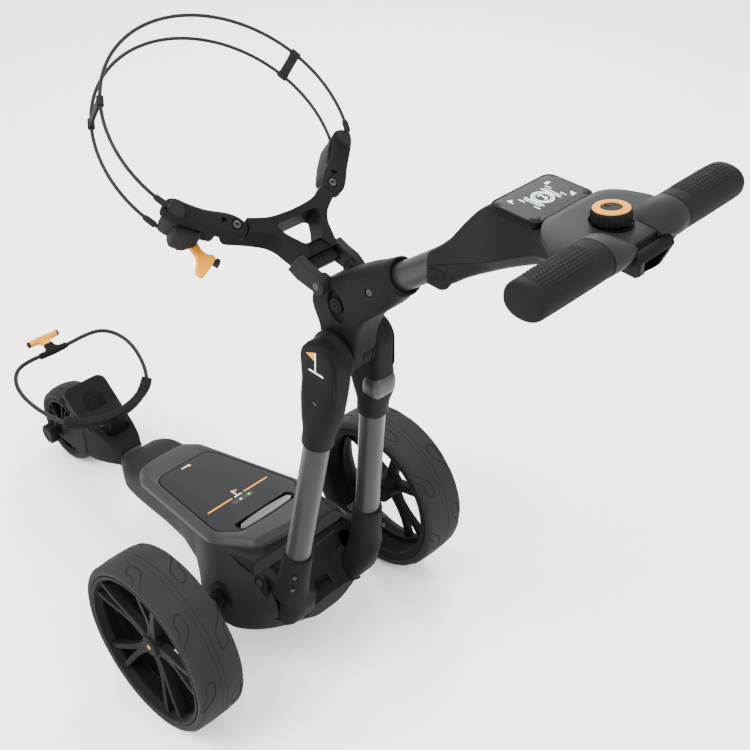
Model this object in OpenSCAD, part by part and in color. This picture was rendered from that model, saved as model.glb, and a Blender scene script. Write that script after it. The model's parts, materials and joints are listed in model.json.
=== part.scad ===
// Electric golf trolley: folding legs, folding handle, bag supports, battery and three wheels.
// Millimetres. +X is the user's right, +Y is forward, +Z is up, ground at z = 0.
// The origin is on the ground, midway along the length and on the middle plane.
// Drawn in an axle frame (y = 0 at the rear axle), which at_frame() shifts to the origin.

/* [Wheels] */
// Rear tyre radius
rear_r = 150; // [120:1:170]
// Distance from the middle plane to the middle of a rear wheel
rear_x = 252.8; // [220:0.1:280]
// Half width of a rear tyre
rear_half_w = 41.7; // [30:0.1:50]
// Number of double spokes in each wheel
spoke_count = 5; // [4:1:8]
// Front tyre radius
front_r = 80; // [60:1:110]
// Front axle, forward of the rear axle
front_y = 630; // [500:1:700]
// Half width of the front tyre
front_half_w = 33; // [25:1:45]

/* [Folding legs] */
// Leg tube radius
leg_r = 19.5; // [15:0.5:25]
// Leg pivot, forward of the rear axle
leg_pivot_y = -66; // [-90:1:-40]
// Leg pivot height
leg_pivot_z = 214; // [190:1:240]
// Top of a leg socket, sideways
socket_x = 75.5; // [60:0.5:90]
// Top of a leg socket, forward of the rear axle
socket_y = -123; // [-140:1:-100]
// Top of a leg socket, height
socket_z = 300; // [260:1:330]

/* [Handle] */
// Handle hinge, forward of the rear axle
hinge_y = -150; // [-170:1:-130]
// Handle hinge height
hinge_z = 663; // [620:1:700]
// Handle tube radius
tube_r = 18.5; // [15:0.5:22]
// Handlebar, forward of the rear axle
bar_y = -545; // [-600:1:-480]
// Handlebar height
bar_z = 1001.5; // [940:0.5:1050]
// Half length of the handlebar
bar_half = 178; // [150:1:220]
// Speed knob radius
knob_r = 20; // [15:0.5:26]

/* [Bag supports] */
// Upper bag bracket pivot, forward of the rear axle
bracket_y = -130; // [-150:1:-110]
// Upper bag bracket pivot height
bracket_z = 768; // [740:1:800]
// Backward lean of the bag
bag_lean = 35; // [20:1:45]
// Radius of the upper strap rings
ring_r = 175; // [140:1:200]
// Upper strap cord diameter
ring_d = 5; // [2:0.1:6]
// Lower strap cord diameter
cord_d = 8; // [4:0.5:9]

/* [Battery] */
// Battery height
battery_h = 58; // [40:1:70]
// Downward slope of the battery top towards the front
battery_slope = 10.8; // [0:0.1:15]

/* [Hidden] */
$fn = 48;
y_ref = 67;
fit = 0.05;
gap = 0.3;
pin_r = 8;
axle_r = 7.5;
front_axle_r = 5;
leg_dir = [-19.9, -24.2, 225.6];
tube_dir = [0, -0.781, 0.6245];
tube_at = [0, -247, 820];
deck_at = [0, 114, 213];
knob_y = -518;
knob_tilt = 8;
screen_y = -433;
screen_z = 1000;
plate_at = [0, 550, 176];
strap_lean = 18;
strap_at = [0, 560, 220];
yoke_pin_r = 6;
grab_pin_r = 1.9;
lever_y = -187;
lever_z = 607;
ring_s = 252.8;
ring_gap = 49;
charcoal = [0.14, 0.14, 0.15];
dark = [0.09, 0.09, 0.1];
gunmetal = [0.27, 0.27, 0.29];
metal = [0.38, 0.38, 0.4];
silver = [0.66, 0.67, 0.69];
yellow = [0.95, 0.63, 0.13];
rubber = [0.17, 0.17, 0.18];
steel = [0.6, 0.6, 0.62];
board = [0.08, 0.3, 0.16];

// Places: frames that the sub-parts are drawn in

module at_frame() { translate([0, -y_ref, 0]) children(); }

module on_side(side) { mirror([side < 0 ? 1 : 0, 0, 0]) children(); }

module along_x(x) { translate([x, 0, 0]) rotate([0, 90, 0]) children(); }

module at_rear_wheel(side) {
    at_frame() on_side(side) translate([0, 0, rear_r]) along_x(rear_x) children();
}

module at_front_wheel() { at_frame() translate([0, front_y, front_r]) along_x(0) children(); }

module along(start, dir) {
    turn = atan2(dir[1], dir[0]);
    tip = atan2(norm([dir[0], dir[1]]), dir[2]);
    translate(start) rotate([0, tip, turn]) children();
}

module along_leg() { along([socket_x, socket_y, socket_z], leg_dir) children(); }

module along_tube() { along(tube_at, tube_dir) children(); }

// Battery deck: z = 0 is the battery's top face
module on_deck() {
    translate(deck_at) rotate([-battery_slope, 0, 0]) translate([0, -deck_at[1], 0]) children();
}

// Bag bracket: x sideways, y out along the bracket, z along the bag
module on_bracket() { translate([0, bracket_y, bracket_z]) rotate([bag_lean, 0, 0]) children(); }

module on_plate() { translate(plate_at) rotate([bag_lean, 0, 0]) children(); }

module on_knob() { translate([0, knob_y, 1003]) rotate([-knob_tilt, 0, 0]) children(); }

module on_strap() { translate(strap_at) rotate([strap_lean, 0, 0]) children(); }

module x_rod(r, x0, x1, y, z) { translate([x0, y, z]) rotate([0, 90, 0]) cylinder(r = r, h = x1 - x0); }

module side_plate(points, x0, x1) {
    translate([x0, 0, 0]) rotate([90, 0, 90]) linear_extrude(x1 - x0) polygon(points);
}

function mirrored(points) = [for (i = [len(points) - 1:-1:0]) let (p = points[i])
    if (p[0] > 0) [-p[0], p[1]]];

module both_sides(points) { polygon(concat(points, mirrored(points))); }

module rounded_slab(w, d, h, r) {
    translate([-w / 2 + r, -d / 2, 0]) cube([w - 2 * r, d, h]);
    translate([-w / 2, -d / 2 + r, 0]) cube([w, d - 2 * r, h]);
    for (i = [-1, 1], j = [-1, 1]) translate([i * (w / 2 - r), j * (d / 2 - r), 0]) cylinder(r = r, h = h);
}

// Rear wheels

module tyre_solid() {
    shoulder = rear_half_w;
    rotate_extrude($fn = 96) polygon([
        [128, -34], [134, -34], [134, -40], [143.8, -shoulder], [147.6, -37], [149.4, -24], [149.4, -15.6],
        [148.7, -15], [149.8, -14.4], [rear_r, -6], [rear_r, 6], [149.8, 14.4], [148.7, 15], [149.4, 15.6],
        [149.4, 24], [147.6, 37], [143.8, shoulder], [134, 40], [134, 34], [128, 34]]);
}

module spoke_pair(root, tip_r, spread, w, h) {
    for (m = [0, 1]) mirror([0, m, 0]) linear_extrude(h)
        polygon([[root, 1], [tip_r, spread], [tip_r, spread + w], [root, 1 + w]]);
}

module rim_solid() {
    difference() {
        union() {
            rotate_extrude($fn = 96) polygon([
                [121, -40], [134, -40], [134, -34], [128, -34], [128, 34], [134, 34], [134, 40],
                [127, 40], [121, 32]]);
            translate([0, 0, -20]) cylinder(r = 26, h = 44);
            for (i = [0:spoke_count - 1]) rotate([0, 0, 26 + i * 360 / spoke_count])
                translate([0, 0, 10]) spoke_pair(20, 124, 11, 7, 12);
        }
        translate([0, 0, -21]) cylinder(r = axle_r, h = 46);
    }
}

module tyre_left() { color(rubber) at_rear_wheel(-1) tyre_solid(); }

module tyre_right() { color(rubber) at_rear_wheel(1) tyre_solid(); }

module rim_left() { color(dark) at_rear_wheel(-1) rim_solid(); }

module rim_right() { color(dark) at_rear_wheel(1) rim_solid(); }

module cap_solid() { rotate_extrude() polygon([[0, 24], [19, 24], [19, 27.5], [16, 30], [0, 30.5]]); }

module hub_cap_left() { color(charcoal) at_rear_wheel(-1) cap_solid(); }

module hub_cap_right() { color(charcoal) at_rear_wheel(1) cap_solid(); }

module axle_solid() {
    translate([0, 0, 112 - rear_x]) cylinder(r = axle_r, h = rear_x - 112 + 23.5);
    translate([0, 0, -36]) cylinder(r = 13, h = 16);
}

module axle_left() { color(steel) at_rear_wheel(-1) axle_solid(); }

module axle_right() { color(steel) at_rear_wheel(1) axle_solid(); }

// Chassis

battery_outline = [[0, 277], [46, 276], [58, 268], [63, 252], [87, 74], [86, 60], [62, 30], [0, 26]];
front_rim_outline = [[0, 336], [50, 333], [72, 302], [98, 80], [0, 80]];
rear_rim_outline = [[0, 90], [98, 90], [104, 66], [100, 40], [70, -14], [0, -24]];
flank_outline = [[0, 90], [112, 84], [150, 34], [150, -34], [118, -78], [64, -103], [0, -112]];
trim_outline = [[0, 336], [50, 333], [72, 302], [104, 66], [100, 40], [70, -14], [0, -24]];

module grown(outline, by) {
    both_sides([for (p = outline) [p[0] + (p[0] > 0 ? by : 0), p[1] + (p[1] > 150 ? by : -by)]]);
}

module slab_at(z, h, points) { translate([0, 0, z]) linear_extrude(h) both_sides(points); }

module chassis_shell() {
    color(charcoal) at_frame() difference() {
        union() {
            hull() {
                on_deck() slab_at(-21, 1, front_rim_outline);
                slab_at(70, 2, [[0, 390], [52, 388], [57, 315], [66, 200], [66, 60], [0, 60]]);
                slab_at(122, 1, [[0, 404], [44, 402], [56, 380]]);
                slab_at(152, 2, [[0, 374], [50, 370]]);
            }
            hull() {
                on_deck() slab_at(-21, 1, rear_rim_outline);
                slab_at(106, 60, flank_outline);
                slab_at(74, 2, [[0, 120], [82, 118], [95, 40], [95, -10], [50, -50], [0, -55]]);
            }
            for (i = [-1, 1]) {
                x_rod(13, i * 106 - 3.5, i * 106 + 3.5, leg_pivot_y, leg_pivot_z);
                translate([i * 106 - 3.5, leg_pivot_y - 13, 150]) cube([7, 26, leg_pivot_z - 150]);
            }
        }
        // the trim's seat and the battery bay
        on_deck() translate([0, 0, -20.05]) linear_extrude(80) grown(trim_outline, 1);
        on_deck() translate([0, 0, -61]) linear_extrude(80) grown(battery_outline, 1);
        // yoke notch
        translate([-102.2, -160, 140]) cube([204.4, 102, 120]);
        translate([-102.2, leg_pivot_y - 17, leg_pivot_z - 17]) cube([204.4, 38, 50]);
        // drive bay and its axle holes
        x_rod(28, -138, 138, 0, rear_r);
        x_rod(16, -151, 151, 0, rear_r);
        // controller bay
        translate([-62, -92, 100]) cube([124, 48, 34]);
        // neck socket
        neck_bar(352, 420);
        // leg pins
        x_rod(yoke_pin_r, -111, 111, leg_pivot_y, leg_pivot_z);
    }
}

module neck_bar(y0, y1) {
    translate([0, y1, 104]) rotate([90, 0, 0]) rounded_slab(42, 38, y1 - y0, 8);
}

module neck_tube() {
    color(metal) at_frame() difference() {
        neck_bar(352, 474);
        translate([0, 475, 104]) rotate([90, 0, 0]) rounded_slab(36, 32, 124, 6);
    }
}

module trim_frame() {
    color(gunmetal) at_frame() on_deck() difference() {
        hull() {
            translate([0, 0, -20]) linear_extrude(12) both_sides(trim_outline);
            translate([0, 0, -9]) linear_extrude(7) grown(trim_outline, -7);
        }
        translate([0, 0, -21]) linear_extrude(22) grown(battery_outline, 1);
    }
}

module battery_case() {
    color(dark) at_frame() on_deck() difference() {
        translate([0, 0, -battery_h - 2]) linear_extrude(battery_h) both_sides(battery_outline);
        // handle pocket
        translate([-56, 30, -18]) cube([112, 36, 17]);
        x_rod(grab_pin_r + fit, -58, 58, 36, -4);
        // contact recess
        translate([-30, 180, -battery_h - 3]) cube([60, 40, 8]);
    }
}

module battery_cover() {
    color(charcoal) at_frame() on_deck() difference() {
        translate([0, 0, -2]) linear_extrude(2) both_sides(battery_outline);
        translate([-56, 30, -3]) cube([112, 36, 4]);
    }
}

module battery_handle() {
    color(silver) at_frame() on_deck() {
        translate([-54.5, 32, -7]) cube([109, 18, 6]);
        for (i = [-1, 1]) x_rod(grab_pin_r, i * 55 - 2.5, i * 55 + 2.5, 36, -4);
    }
}

module battery_contacts() {
    color(steel) at_frame() on_deck() translate([-28, 182, -61]) {
        cube([56, 36, 1]);
        for (i = [0:3]) translate([6 + i * 13, 6, 1]) cube([5, 24, 5]);
    }
}

module drive_solid() {
    difference() {
        union() {
            x_rod(26, 34, 118, 0, rear_r);
            x_rod(27.5, 118, 137.5, 0, rear_r);
            x_rod(15.9, 137, 150, 0, rear_r);
            x_rod(5, 28, 34, 0, rear_r);
        }
        x_rod(axle_r + fit, 111, 151, 0, rear_r);
    }
}

module drive_units() { color(steel) at_frame() for (side = [-1, 1]) on_side(side) drive_solid(); }

module controller_board() {
    color(board) at_frame() translate([-55, -88, 102]) {
        cube([110, 40, 1.6]);
        for (i = [0:4]) translate([8 + i * 20, 10, 1.6]) cube([12, 16, 8 + 2 * (i % 2)]);
    }
}

module yoke_pins() {
    color(steel) at_frame() for (i = [-1, 1])
        x_rod(yoke_pin_r - 0.02, i * 99.5 - 10, i * 99.5 + 10, leg_pivot_y, leg_pivot_z);
}

// Front end

module front_housing() {
    color(charcoal) at_frame() difference() {
        union() {
            hull() {
                translate([-31, 446, 80]) cube([62, 10, 50]);
                translate([-38, 480, 66]) cube([76, 10, 76]);
                translate([-44, 536, 60]) cube([88, 4, 86]);
            }
            on_plate() translate([0, 0, -10]) linear_extrude(10)
                both_sides([[0, 46], [38, 45], [47, 34], [45, -36], [33, -104], [0, -106]]);
            intersection() {
                x_rod(front_r + 11, -44, 44, front_y, front_r);
                translate([-44, 530, 96]) cube([88, 62, 90]);
            }
            for (i = [-1, 1]) hull() {
                x_rod(17, i * 42 - 3.5, i * 42 + 3.5, front_y, front_r);
                translate([i * 42 - 3.5, 536, 68]) cube([7, 4, 64]);
            }
            on_strap() translate([-20, -105, -96]) cube([40, 16, 88.3]);
        }
        x_rod(front_r + 5, -38.5, 38.5, front_y, front_r);
        x_rod(front_axle_r, -50, 50, front_y, front_r);
        neck_bar(440, 474);
        plate_screw_holes();
    }
}

module plate_screw_holes() {
    on_plate() for (i = [-1, 1]) translate([i * 13.5, 1.5, 0]) {
        translate([0, 0, -6]) cylinder(r = 2, h = 8);
        translate([0, 0, 0.8]) cylinder(r = 3.5, h = 2);
    }
}

module base_plate() {
    color(dark) at_frame() difference() {
        on_plate() {
            translate([0, 2, 0]) cylinder(r = 21, h = 2);
            translate([-21, -28, 0]) cube([42, 30, 2]);
        }
        plate_screw_holes();
    }
}

module base_screws() {
    color(steel) at_frame() on_plate() for (i = [-1, 1]) translate([i * 13.5, 1.5, -5]) {
        cylinder(r = 1.95, h = 6);
        translate([0, 0, 5.8]) cylinder(r = 3.4, h = 1);
    }
}

module front_axle() {
    color(steel) at_frame() {
        x_rod(front_axle_r, -50, 50, front_y, front_r);
        x_rod(9, 45.5, 52, front_y, front_r);
    }
}

module track_knob() {
    color(charcoal) at_frame() difference() {
        union() {
            x_rod(21, -71, -52, front_y, front_r);
            x_rod(9, -52, -46.2, front_y, front_r);
        }
        x_rod(front_axle_r + fit, -60, -46, front_y, front_r);
        for (i = [0:8]) translate([0, front_y, front_r]) rotate([i * 40, 0, 0])
            translate([-72, 22.6, 0]) rotate([0, 90, 0]) cylinder(r = 3.4, h = 22);
    }
}

module front_tyre() {
    color(rubber) at_front_wheel() rotate_extrude($fn = 96) polygon([
        [58, -26], [62, -29], [70.5, -front_half_w], [75, -29], [78.6, -19], [front_r, -6],
        [front_r, 6], [78.6, 19], [75, 29], [70.5, front_half_w], [62, 29], [58, 26]]);
}

module front_rim() {
    color(dark) at_front_wheel() difference() {
        union() {
            rotate_extrude($fn = 96)
                polygon([[53, -30], [61.5, -30], [58, -26], [58, 26], [61.5, 30], [53, 30]]);
            translate([0, 0, -36]) cylinder(r = 11, h = 72);
            for (i = [0:spoke_count - 1], z = [-24, 16]) rotate([0, 0, 26 + i * 360 / spoke_count])
                translate([0, 0, z]) spoke_pair(9, 55, 6, 4, 8);
        }
        translate([0, 0, -37]) cylinder(r = front_axle_r + fit, h = 74);
    }
}

module strap_arm() {
    color(rubber) at_frame() on_strap() translate([0, 40, 0]) {
        rotate([0, 0, 228]) rotate_extrude(angle = 84, $fn = 96)
            translate([137.8 - 8.5, -7.5]) square([17, 15]);
        for (a = [226.6, 308.4]) rotate([0, 0, a]) rotate_extrude(angle = 5, $fn = 96)
            translate([137.8 - 10, -9]) square([20, 18]);
    }
}

strap_route = [
    [-94, -62], [-101, -50], [-109, -34], [-116, -14], [-121, 8], [-123, 32], [-119, 58], [-107, 80],
    [-88, 93], [-60, 97], [-30, 96], [0, 95], [30, 96], [60, 97], [88, 93], [107, 80],
    [119, 58], [123, 32], [121, 8], [116, -14], [109, -34], [101, -50], [94, -62]];

function between(p, i, t) =
    let (a = p[max(i - 1, 0)], b = p[i], c = p[i + 1], d = p[min(i + 2, len(p) - 1)])
    0.5 * (2 * b + (c - a) * t + (2 * a - 5 * b + 4 * c - d) * t * t + (3 * b - a - 3 * c + d) * t * t * t);

function smooth(p) = [for (i = [0:len(p) - 2], t = [0, 0.5]) between(p, i, t), p[len(p) - 1]];

function heading(p, i) = let (d = p[min(i + 1, len(p) - 1)] - p[max(i - 1, 0)]) d / norm(d);

// A round tube along a flat route: one ring of sides per point
module flat_tube(route, r, sides) {
    p = smooth(route);
    n = len(p);
    points = [for (i = [0:n - 1], k = [0:sides - 1]) let (h = heading(p, i), a = 360 * k / sides)
        [p[i][0] - h[1] * r * cos(a), p[i][1] + h[0] * r * cos(a), r * sin(a)]];
    walls = [for (i = [0:n - 2], k = [0:sides - 1]) let (m = (k + 1) % sides)
        [i * sides + k, i * sides + m, (i + 1) * sides + m, (i + 1) * sides + k]];
    ends = [[for (k = [sides - 1:-1:0]) k], [for (k = [0:sides - 1]) (n - 1) * sides + k]];
    polyhedron(points, concat(walls, ends));
}

module lower_cord() { color(dark) at_frame() on_strap() flat_tube(strap_route, cord_d / 2, 8); }

module tee_body() {
    color(charcoal) at_frame() on_strap() translate([-14, 95.5, 0]) difference() {
        union() {
            along_x(-29) cylinder(r = 6.4, h = 58);
            translate([-9, 2, -4]) cube([18, 16, 8]);
        }
        along_x(-30) cylinder(r = cord_d / 2 + 0.35, h = 60);
    }
}

module tee_handle() {
    color(yellow) at_frame() on_strap() translate([-14, 95.5, 0]) {
        translate([-8, 18, -3.5]) cube([16, 14, 7]);
        translate([0, 36, 0]) along_x(-28) cylinder(r = 5.5, h = 56);
    }
}

// Folding legs

module socket_solid() {
    difference() {
        union() {
            hull() {
                along_leg() translate([0, 0, -14]) cylinder(r = 24, h = 14);
                translate([54, -140, 142]) cube([44, 44, 30]);
            }
            hull() {
                x_rod(13, 91, 101, leg_pivot_y, leg_pivot_z);
                translate([91, -118, 168]) cube([7, 20, 60]);
            }
        }
        along_leg() translate([0, 0, -90]) cylinder(r = leg_r, h = 100);
        x_rod(yoke_pin_r + fit, 88, 104, leg_pivot_y, leg_pivot_z);
    }
}

module leg_yoke() {
    color(charcoal) at_frame() difference() {
        union() {
            for (side = [-1, 1]) on_side(side) socket_solid();
            hull() {
                translate([-56, -124, 142]) cube([112, 62, 6]);
                translate([-56, -84, 188]) cube([112, 22, 4]);
            }
        }
        for (side = [-1, 1]) on_side(side) along_leg() translate([0, 0, -90]) cylinder(r = leg_r, h = 100);
        translate([-16, -112, 152]) cube([32, 20, 60]);
    }
}

module leg_tube_solid() {
    along_leg() translate([0, 0, -89]) difference() {
        cylinder(r = leg_r, h = 396);
        translate([0, 0, -1]) cylinder(r = leg_r - 1.6, h = 398);
    }
}

module leg_tubes() { color(metal) at_frame() for (side = [-1, 1]) on_side(side) leg_tube_solid(); }

module cover_shape(r, x0, x1) {
    x_rod(r, x0, x1, hinge_y, hinge_z);
    x_rod(r, x0, x1, hinge_y - 2, hinge_z - 31);
    side_plate([[hinge_y - r, hinge_z], [hinge_y + r, hinge_z], [hinge_y - 2 + r, hinge_z - 31],
        [hinge_y - 2 - r, hinge_z - 31]], x0, x1);
}

module knuckle_solid() {
    difference() {
        union() {
            hull() {
                x_rod(29, 27, 54, hinge_y, hinge_z, $fn = 32);
                along_leg() translate([0, 0, 288]) cylinder(r = 21, h = 6, $fn = 32);
            }
            x_rod(32.5, 22, 58, hinge_y, hinge_z);
            along_leg() translate([0, 0, 227.8]) cylinder(r = 22.8, h = 70);
        }
        along_leg() translate([0, 0, 220]) cylinder(r = leg_r, h = 87);
        x_rod(pin_r, 21, 55, hinge_y, hinge_z);
        cover_shape(29, 55, 90);
        // room for the casting between the knuckles
        translate([0, -230, 560]) cube([21.9, 160, 160]);
    }
}

module lever_ear(x) {
    hull() {
        x_rod(5.5, x, x + 5, lever_y, lever_z);
        translate([x, lever_y + 12, lever_z - 11]) cube([5, 12, 20]);
    }
}

module knuckles() {
    color(charcoal) at_frame() difference() {
        union() {
            for (side = [-1, 1]) on_side(side) knuckle_solid();
            for (x = [24, 49]) lever_ear(x);
        }
        x_rod(2 + fit, 23, 55, lever_y, lever_z);
        on_side(1) along_leg() translate([0, 0, 220]) cylinder(r = leg_r, h = 87);
    }
}

module hinge_covers() {
    color(dark) at_frame() for (side = [-1, 1]) on_side(side) cover_shape(28.9, 55, 58);
}

module hinge_pin() { color(steel) at_frame() x_rod(pin_r, -54.8, 54.8, hinge_y, hinge_z); }

module release_lever() {
    color(silver) at_frame() union() {
        x_rod(5, 29.4, 48.6, lever_y, lever_z);
        x_rod(2, 24.5, 53.5, lever_y, lever_z);
        translate([29.4, lever_y - 5, lever_z - 15]) cube([19.2, 8, 15]);
        translate([26, lever_y - 6, lever_z - 32]) cube([26, 7, 18]);
    }
}

module leg_screws() {
    color(steel) at_frame() for (i = [-1, 1], j = [0, 1]) on_side(i)
        translate([socket_x + 21 + 3 * j, socket_y - 15 + 2 * j, 274 - 26 * j]) rotate([0, 90, -35])
            cylinder(r = 3, h = 3.4);
}

// Handle

module handle_casting() {
    color(charcoal) at_frame() difference() {
        union() {
            x_rod(31.5, -21.7, -3.3, hinge_y, hinge_z);
            side_plate([[-118.6, 663], [-114, 706], [-108, 746], [-204, 746], [-184, 700], [-181.4, 663]],
                -21.5, -3.3);
            side_plate([[-116, 700], [-108, 746], [-204, 746], [-184, 704], [-176, 698]], -21.5, 21.5);
            side_plate([[-108, 712], [-106, 744], [-118, 766], [-132, 781], [-150, 788], [-182, 806],
                [-214, 822], [-246, 786], [-204, 744], [-174, 714]], -27, 27);
            x_rod(13, -27, 27, bracket_y, bracket_z);
            along_tube() translate([0, 0, -60]) cylinder(r = 25, h = 62);
        }
        along_tube() translate([0, 0, -52]) cylinder(r = tube_r, h = 60);
        x_rod(pin_r + fit, -22, 22, hinge_y, hinge_z);
        x_rod(32.5, -3.3, 23, hinge_y, hinge_z);
        x_rod(4, -28, 28, bracket_y, bracket_z);
        // button recess in the left face
        x_rod(13, -28, -23.5, -154, 736);
        x_rod(13, -28, -23.5, -150, 750);
        x_rod(8.58, -28, -15, -152, 743);
    }
}

module hinge_drum() {
    color(dark) at_frame() difference() {
        x_rod(31.5, -3.2, 21.6, hinge_y, hinge_z);
        x_rod(pin_r + fit, -4, 22, hinge_y, hinge_z);
    }
}

module fold_button() {
    color(charcoal) at_frame() difference() {
        x_rod(8.5, -29.5, -19, -152, 743);
        x_rod(2.5, -30, -27.5, -152, 743);
    }
}

module bracket_pin() { color(steel) at_frame() x_rod(4, -40, 40, bracket_y, bracket_z); }

module handle_tube() {
    color(metal) at_frame() along_tube() translate([0, 0, -52]) difference() {
        cylinder(r = tube_r, h = 202);
        translate([0, 0, -1]) cylinder(r = tube_r - 1.6, h = 204);
    }
}

function oval(ry, rz, n) = [for (k = [0:n - 1]) [ry * cos(360 * k / n), rz * sin(360 * k / n)]];

module oval_rod(ry, rz, x0, x1) {
    translate([x0, bar_y, bar_z]) rotate([90, 0, 90]) linear_extrude(x1 - x0) polygon(oval(ry, rz, 40));
}

module console_wedge() {
    hull() {
        along_tube() translate([0, 0, 68]) cylinder(r = 24, h = 8, $fn = 32);
        translate([-46, -468, 980]) cube([92, 66, 11.8]);
        translate([-20, -430, 913]) cube([40, 6, 4]);
        translate([-56, -556, 984]) cube([112, 80, 16]);
        translate([-44, -540, 978]) cube([88, 10, 6]);
    }
}

module above_seam() {
    translate([-120, -387, 924]) rotate([-32.7, 0, 0]) translate([0, -260, 0]) cube([240, 460, 300]);
    translate([-120, -620, 985]) cube([240, 160, 60]);
}

module console_room() {
    along_tube() translate([0, 0, 60]) cylinder(r = tube_r, h = 90);
    translate([-39, -456, 962]) cube([78, 46, 31]);
    translate([0, screen_y, screen_z - 8]) rounded_slab(104, 64, 20, 12);
    on_knob() translate([0, 0, -19]) cylinder(r = 6.08, h = 60);
    on_knob() cylinder(r = 23, h = 40);
}

module console_upper() {
    color(charcoal) at_frame() difference() {
        union() {
            intersection() {
                console_wedge();
                above_seam();
            }
            oval_rod(24, 19.5, -66, 66);
            oval_rod(8, 8, -170, 170);
        }
        console_room();
    }
}

module console_lower() {
    color(dark) at_frame() difference() {
        console_wedge();
        above_seam();
        console_room();
        oval_rod(24, 19.5, -67, 67);
    }
}

module top_trim() {
    color(gunmetal) at_frame() difference() {
        slab_at(1000, 6, [[0, -469], [44, -469], [60, -478], [80, -500], [66, -522], [0, -522]]);
        oval_rod(24, 19.5, -90, 90);
        on_knob() translate([0, 0, -4]) cylinder(r = 23, h = 30);
    }
}

module screen_bezel() {
    color(dark) at_frame() translate([0, screen_y, screen_z - 8]) difference() {
        rounded_slab(104, 64, 8, 12);
        translate([0, 0, 6.5]) rounded_slab(98, 58, 3, 9);
    }
}

module screen_glass() {
    color([0.05, 0.05, 0.06]) at_frame() translate([0, screen_y, screen_z - 1.5])
        rounded_slab(98, 58, 1.5, 9);
}

module display_board() {
    color(board) at_frame() translate([-36, -454, 966]) {
        cube([72, 42, 1.6]);
        for (i = [0:3]) translate([6 + 17 * i, 10, 1.6]) cube([9, 14, 3]);
    }
}

module grip_solid() {
    difference() {
        union() {
            oval_rod(24, 19.5, 66.3, bar_half - 5);
            oval_rod(23, 18.5, bar_half - 5, bar_half - 2);
            oval_rod(20, 15.5, bar_half - 2, bar_half);
        }
        oval_rod(8, 8, 60, 171);
    }
}

module grips() { color(rubber) at_frame() for (side = [-1, 1]) on_side(side) grip_solid(); }

module accessory_hook() {
    color(dark) at_frame() difference() {
        translate([0, -560, 0]) rotate([90, 0, 0]) linear_extrude(16) difference() {
            polygon([[-31, 983], [31, 983], [26, 976], [9, 956], [-9, 956], [-26, 976]]);
            polygon([[-20, 977], [20, 977], [5, 961], [-5, 961]]);
        }
        oval_rod(24, 19.5, -67, 67);
    }
}

module knob_stem() { color(steel) at_frame() on_knob() translate([0, 0, -15]) cylinder(r = 6, h = 20); }

module knob_body() {
    color(dark) at_frame() on_knob() translate([0, 0, 2.5]) difference() {
        union() {
            cylinder(r = knob_r, h = 15.5);
            cylinder(r = 10.8, h = 16.8);
        }
        translate([0, 0, -1]) cylinder(r = 6 + fit, h = 5);
        for (i = [0:23]) rotate([0, 0, i * 15]) translate([knob_r + 0.6, 0, -1]) cylinder(r = 1.4, h = 14);
    }
}

module knob_ring() {
    color(yellow) at_frame() on_knob() translate([0, 0, 18]) difference() {
        cylinder(r = knob_r - 1.5, h = 1.6);
        translate([0, 0, -1]) cylinder(r = 11, h = 4);
    }
}

// Upper bag bracket

module bag_bracket() {
    color(charcoal) at_frame() on_bracket() difference() {
        union() {
            translate([0, 0, -36]) linear_extrude(38) difference() {
                both_sides([[0, 108], [37, 110], [68, 122], [85, 134], [97, 128], [99, 116], [80, 106],
                    [62, 96], [47, 86], [38, 74], [31, 54], [28, 38], [0, 38]]);
                both_sides([[0, 97], [30, 97], [36, 94], [30, 82], [15, 56], [0, 54]]);
            }
            for (i = [-1, 1]) {
                x_rod(13, i * 34 - 6.5, i * 34 + 6.5, 0, 0);
                translate([i * 34 - 6.5, 0, -13]) cube([13, 40, 15]);
            }
        }
        // the underside rises towards the pivot, to clear the casting when it folds
        side_plate([[14, -13.2], [38, -13.2], [52, -38], [14, -38]], -60, 60);
        for (i = [-1, 1]) {
            translate([i * 85.2, 120, -15]) cylinder(r = 19, h = 20);
            translate([i * 85.2, 120, -37]) cylinder(r = 3, h = 40);
        }
        x_rod(4 + fit, -45, 45, 0, 0);
    }
}

module pad_solid() {
    difference() {
        union() {
            translate([85.2, 120, -14.7]) cylinder(r = 15, h = 14.7);
            translate([0, 0, -50]) linear_extrude(50)
                polygon([[101, 127.5], [114, 137], [130, 153], [146, 174], [139, 184], [128, 186],
                    [116, 168], [100, 151], [90, 142]]);
            translate([0, 0, -14.7]) linear_extrude(14.7)
                polygon([[76, 132], [96, 110], [108, 132], [92, 146]]);
        }
        translate([85.2, 120, -16]) cylinder(r = 3, h = 20);
    }
}

module bag_pads() {
    color(charcoal) at_frame() on_bracket() for (side = [-1, 1]) on_side(side) pad_solid();
}

module pad_screws() {
    color(steel) at_frame() on_bracket() for (i = [-1, 1]) translate([i * 85.2, 120, -34]) {
        cylinder(r = 2.95, h = 34);
        translate([0, 0, 34]) cylinder(r = 6, h = 2);
    }
}

module ring_cord(z, start, turn) {
    on_bracket() translate([0, ring_s, z]) rotate([0, 0, start]) rotate_extrude(angle = turn, $fn = 96)
        translate([ring_r, 0]) circle(d = ring_d, $fn = 16);
}

module strap_ring_top() { color(dark) at_frame() ring_cord(4, -27, 234); }

module strap_ring_low() { color(dark) at_frame() ring_cord(4 - ring_gap, -27, 234); }

module clip_solid(a) {
    on_bracket() translate([0, ring_s, 0]) rotate([0, 0, a]) difference() {
        translate([ring_r - 4, -7, 4 - ring_gap - 4]) cube([8, 14, ring_gap + 8]);
        for (z = [4, 4 - ring_gap]) translate([0, 0, z]) rotate([0, 0, -5])
            rotate_extrude(angle = 10, $fn = 96) translate([ring_r, 0]) circle(d = ring_d + 0.1, $fn = 16);
    }
}

module ring_clips() { color(charcoal) at_frame() for (a = [21, 150]) clip_solid(a); }

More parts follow.
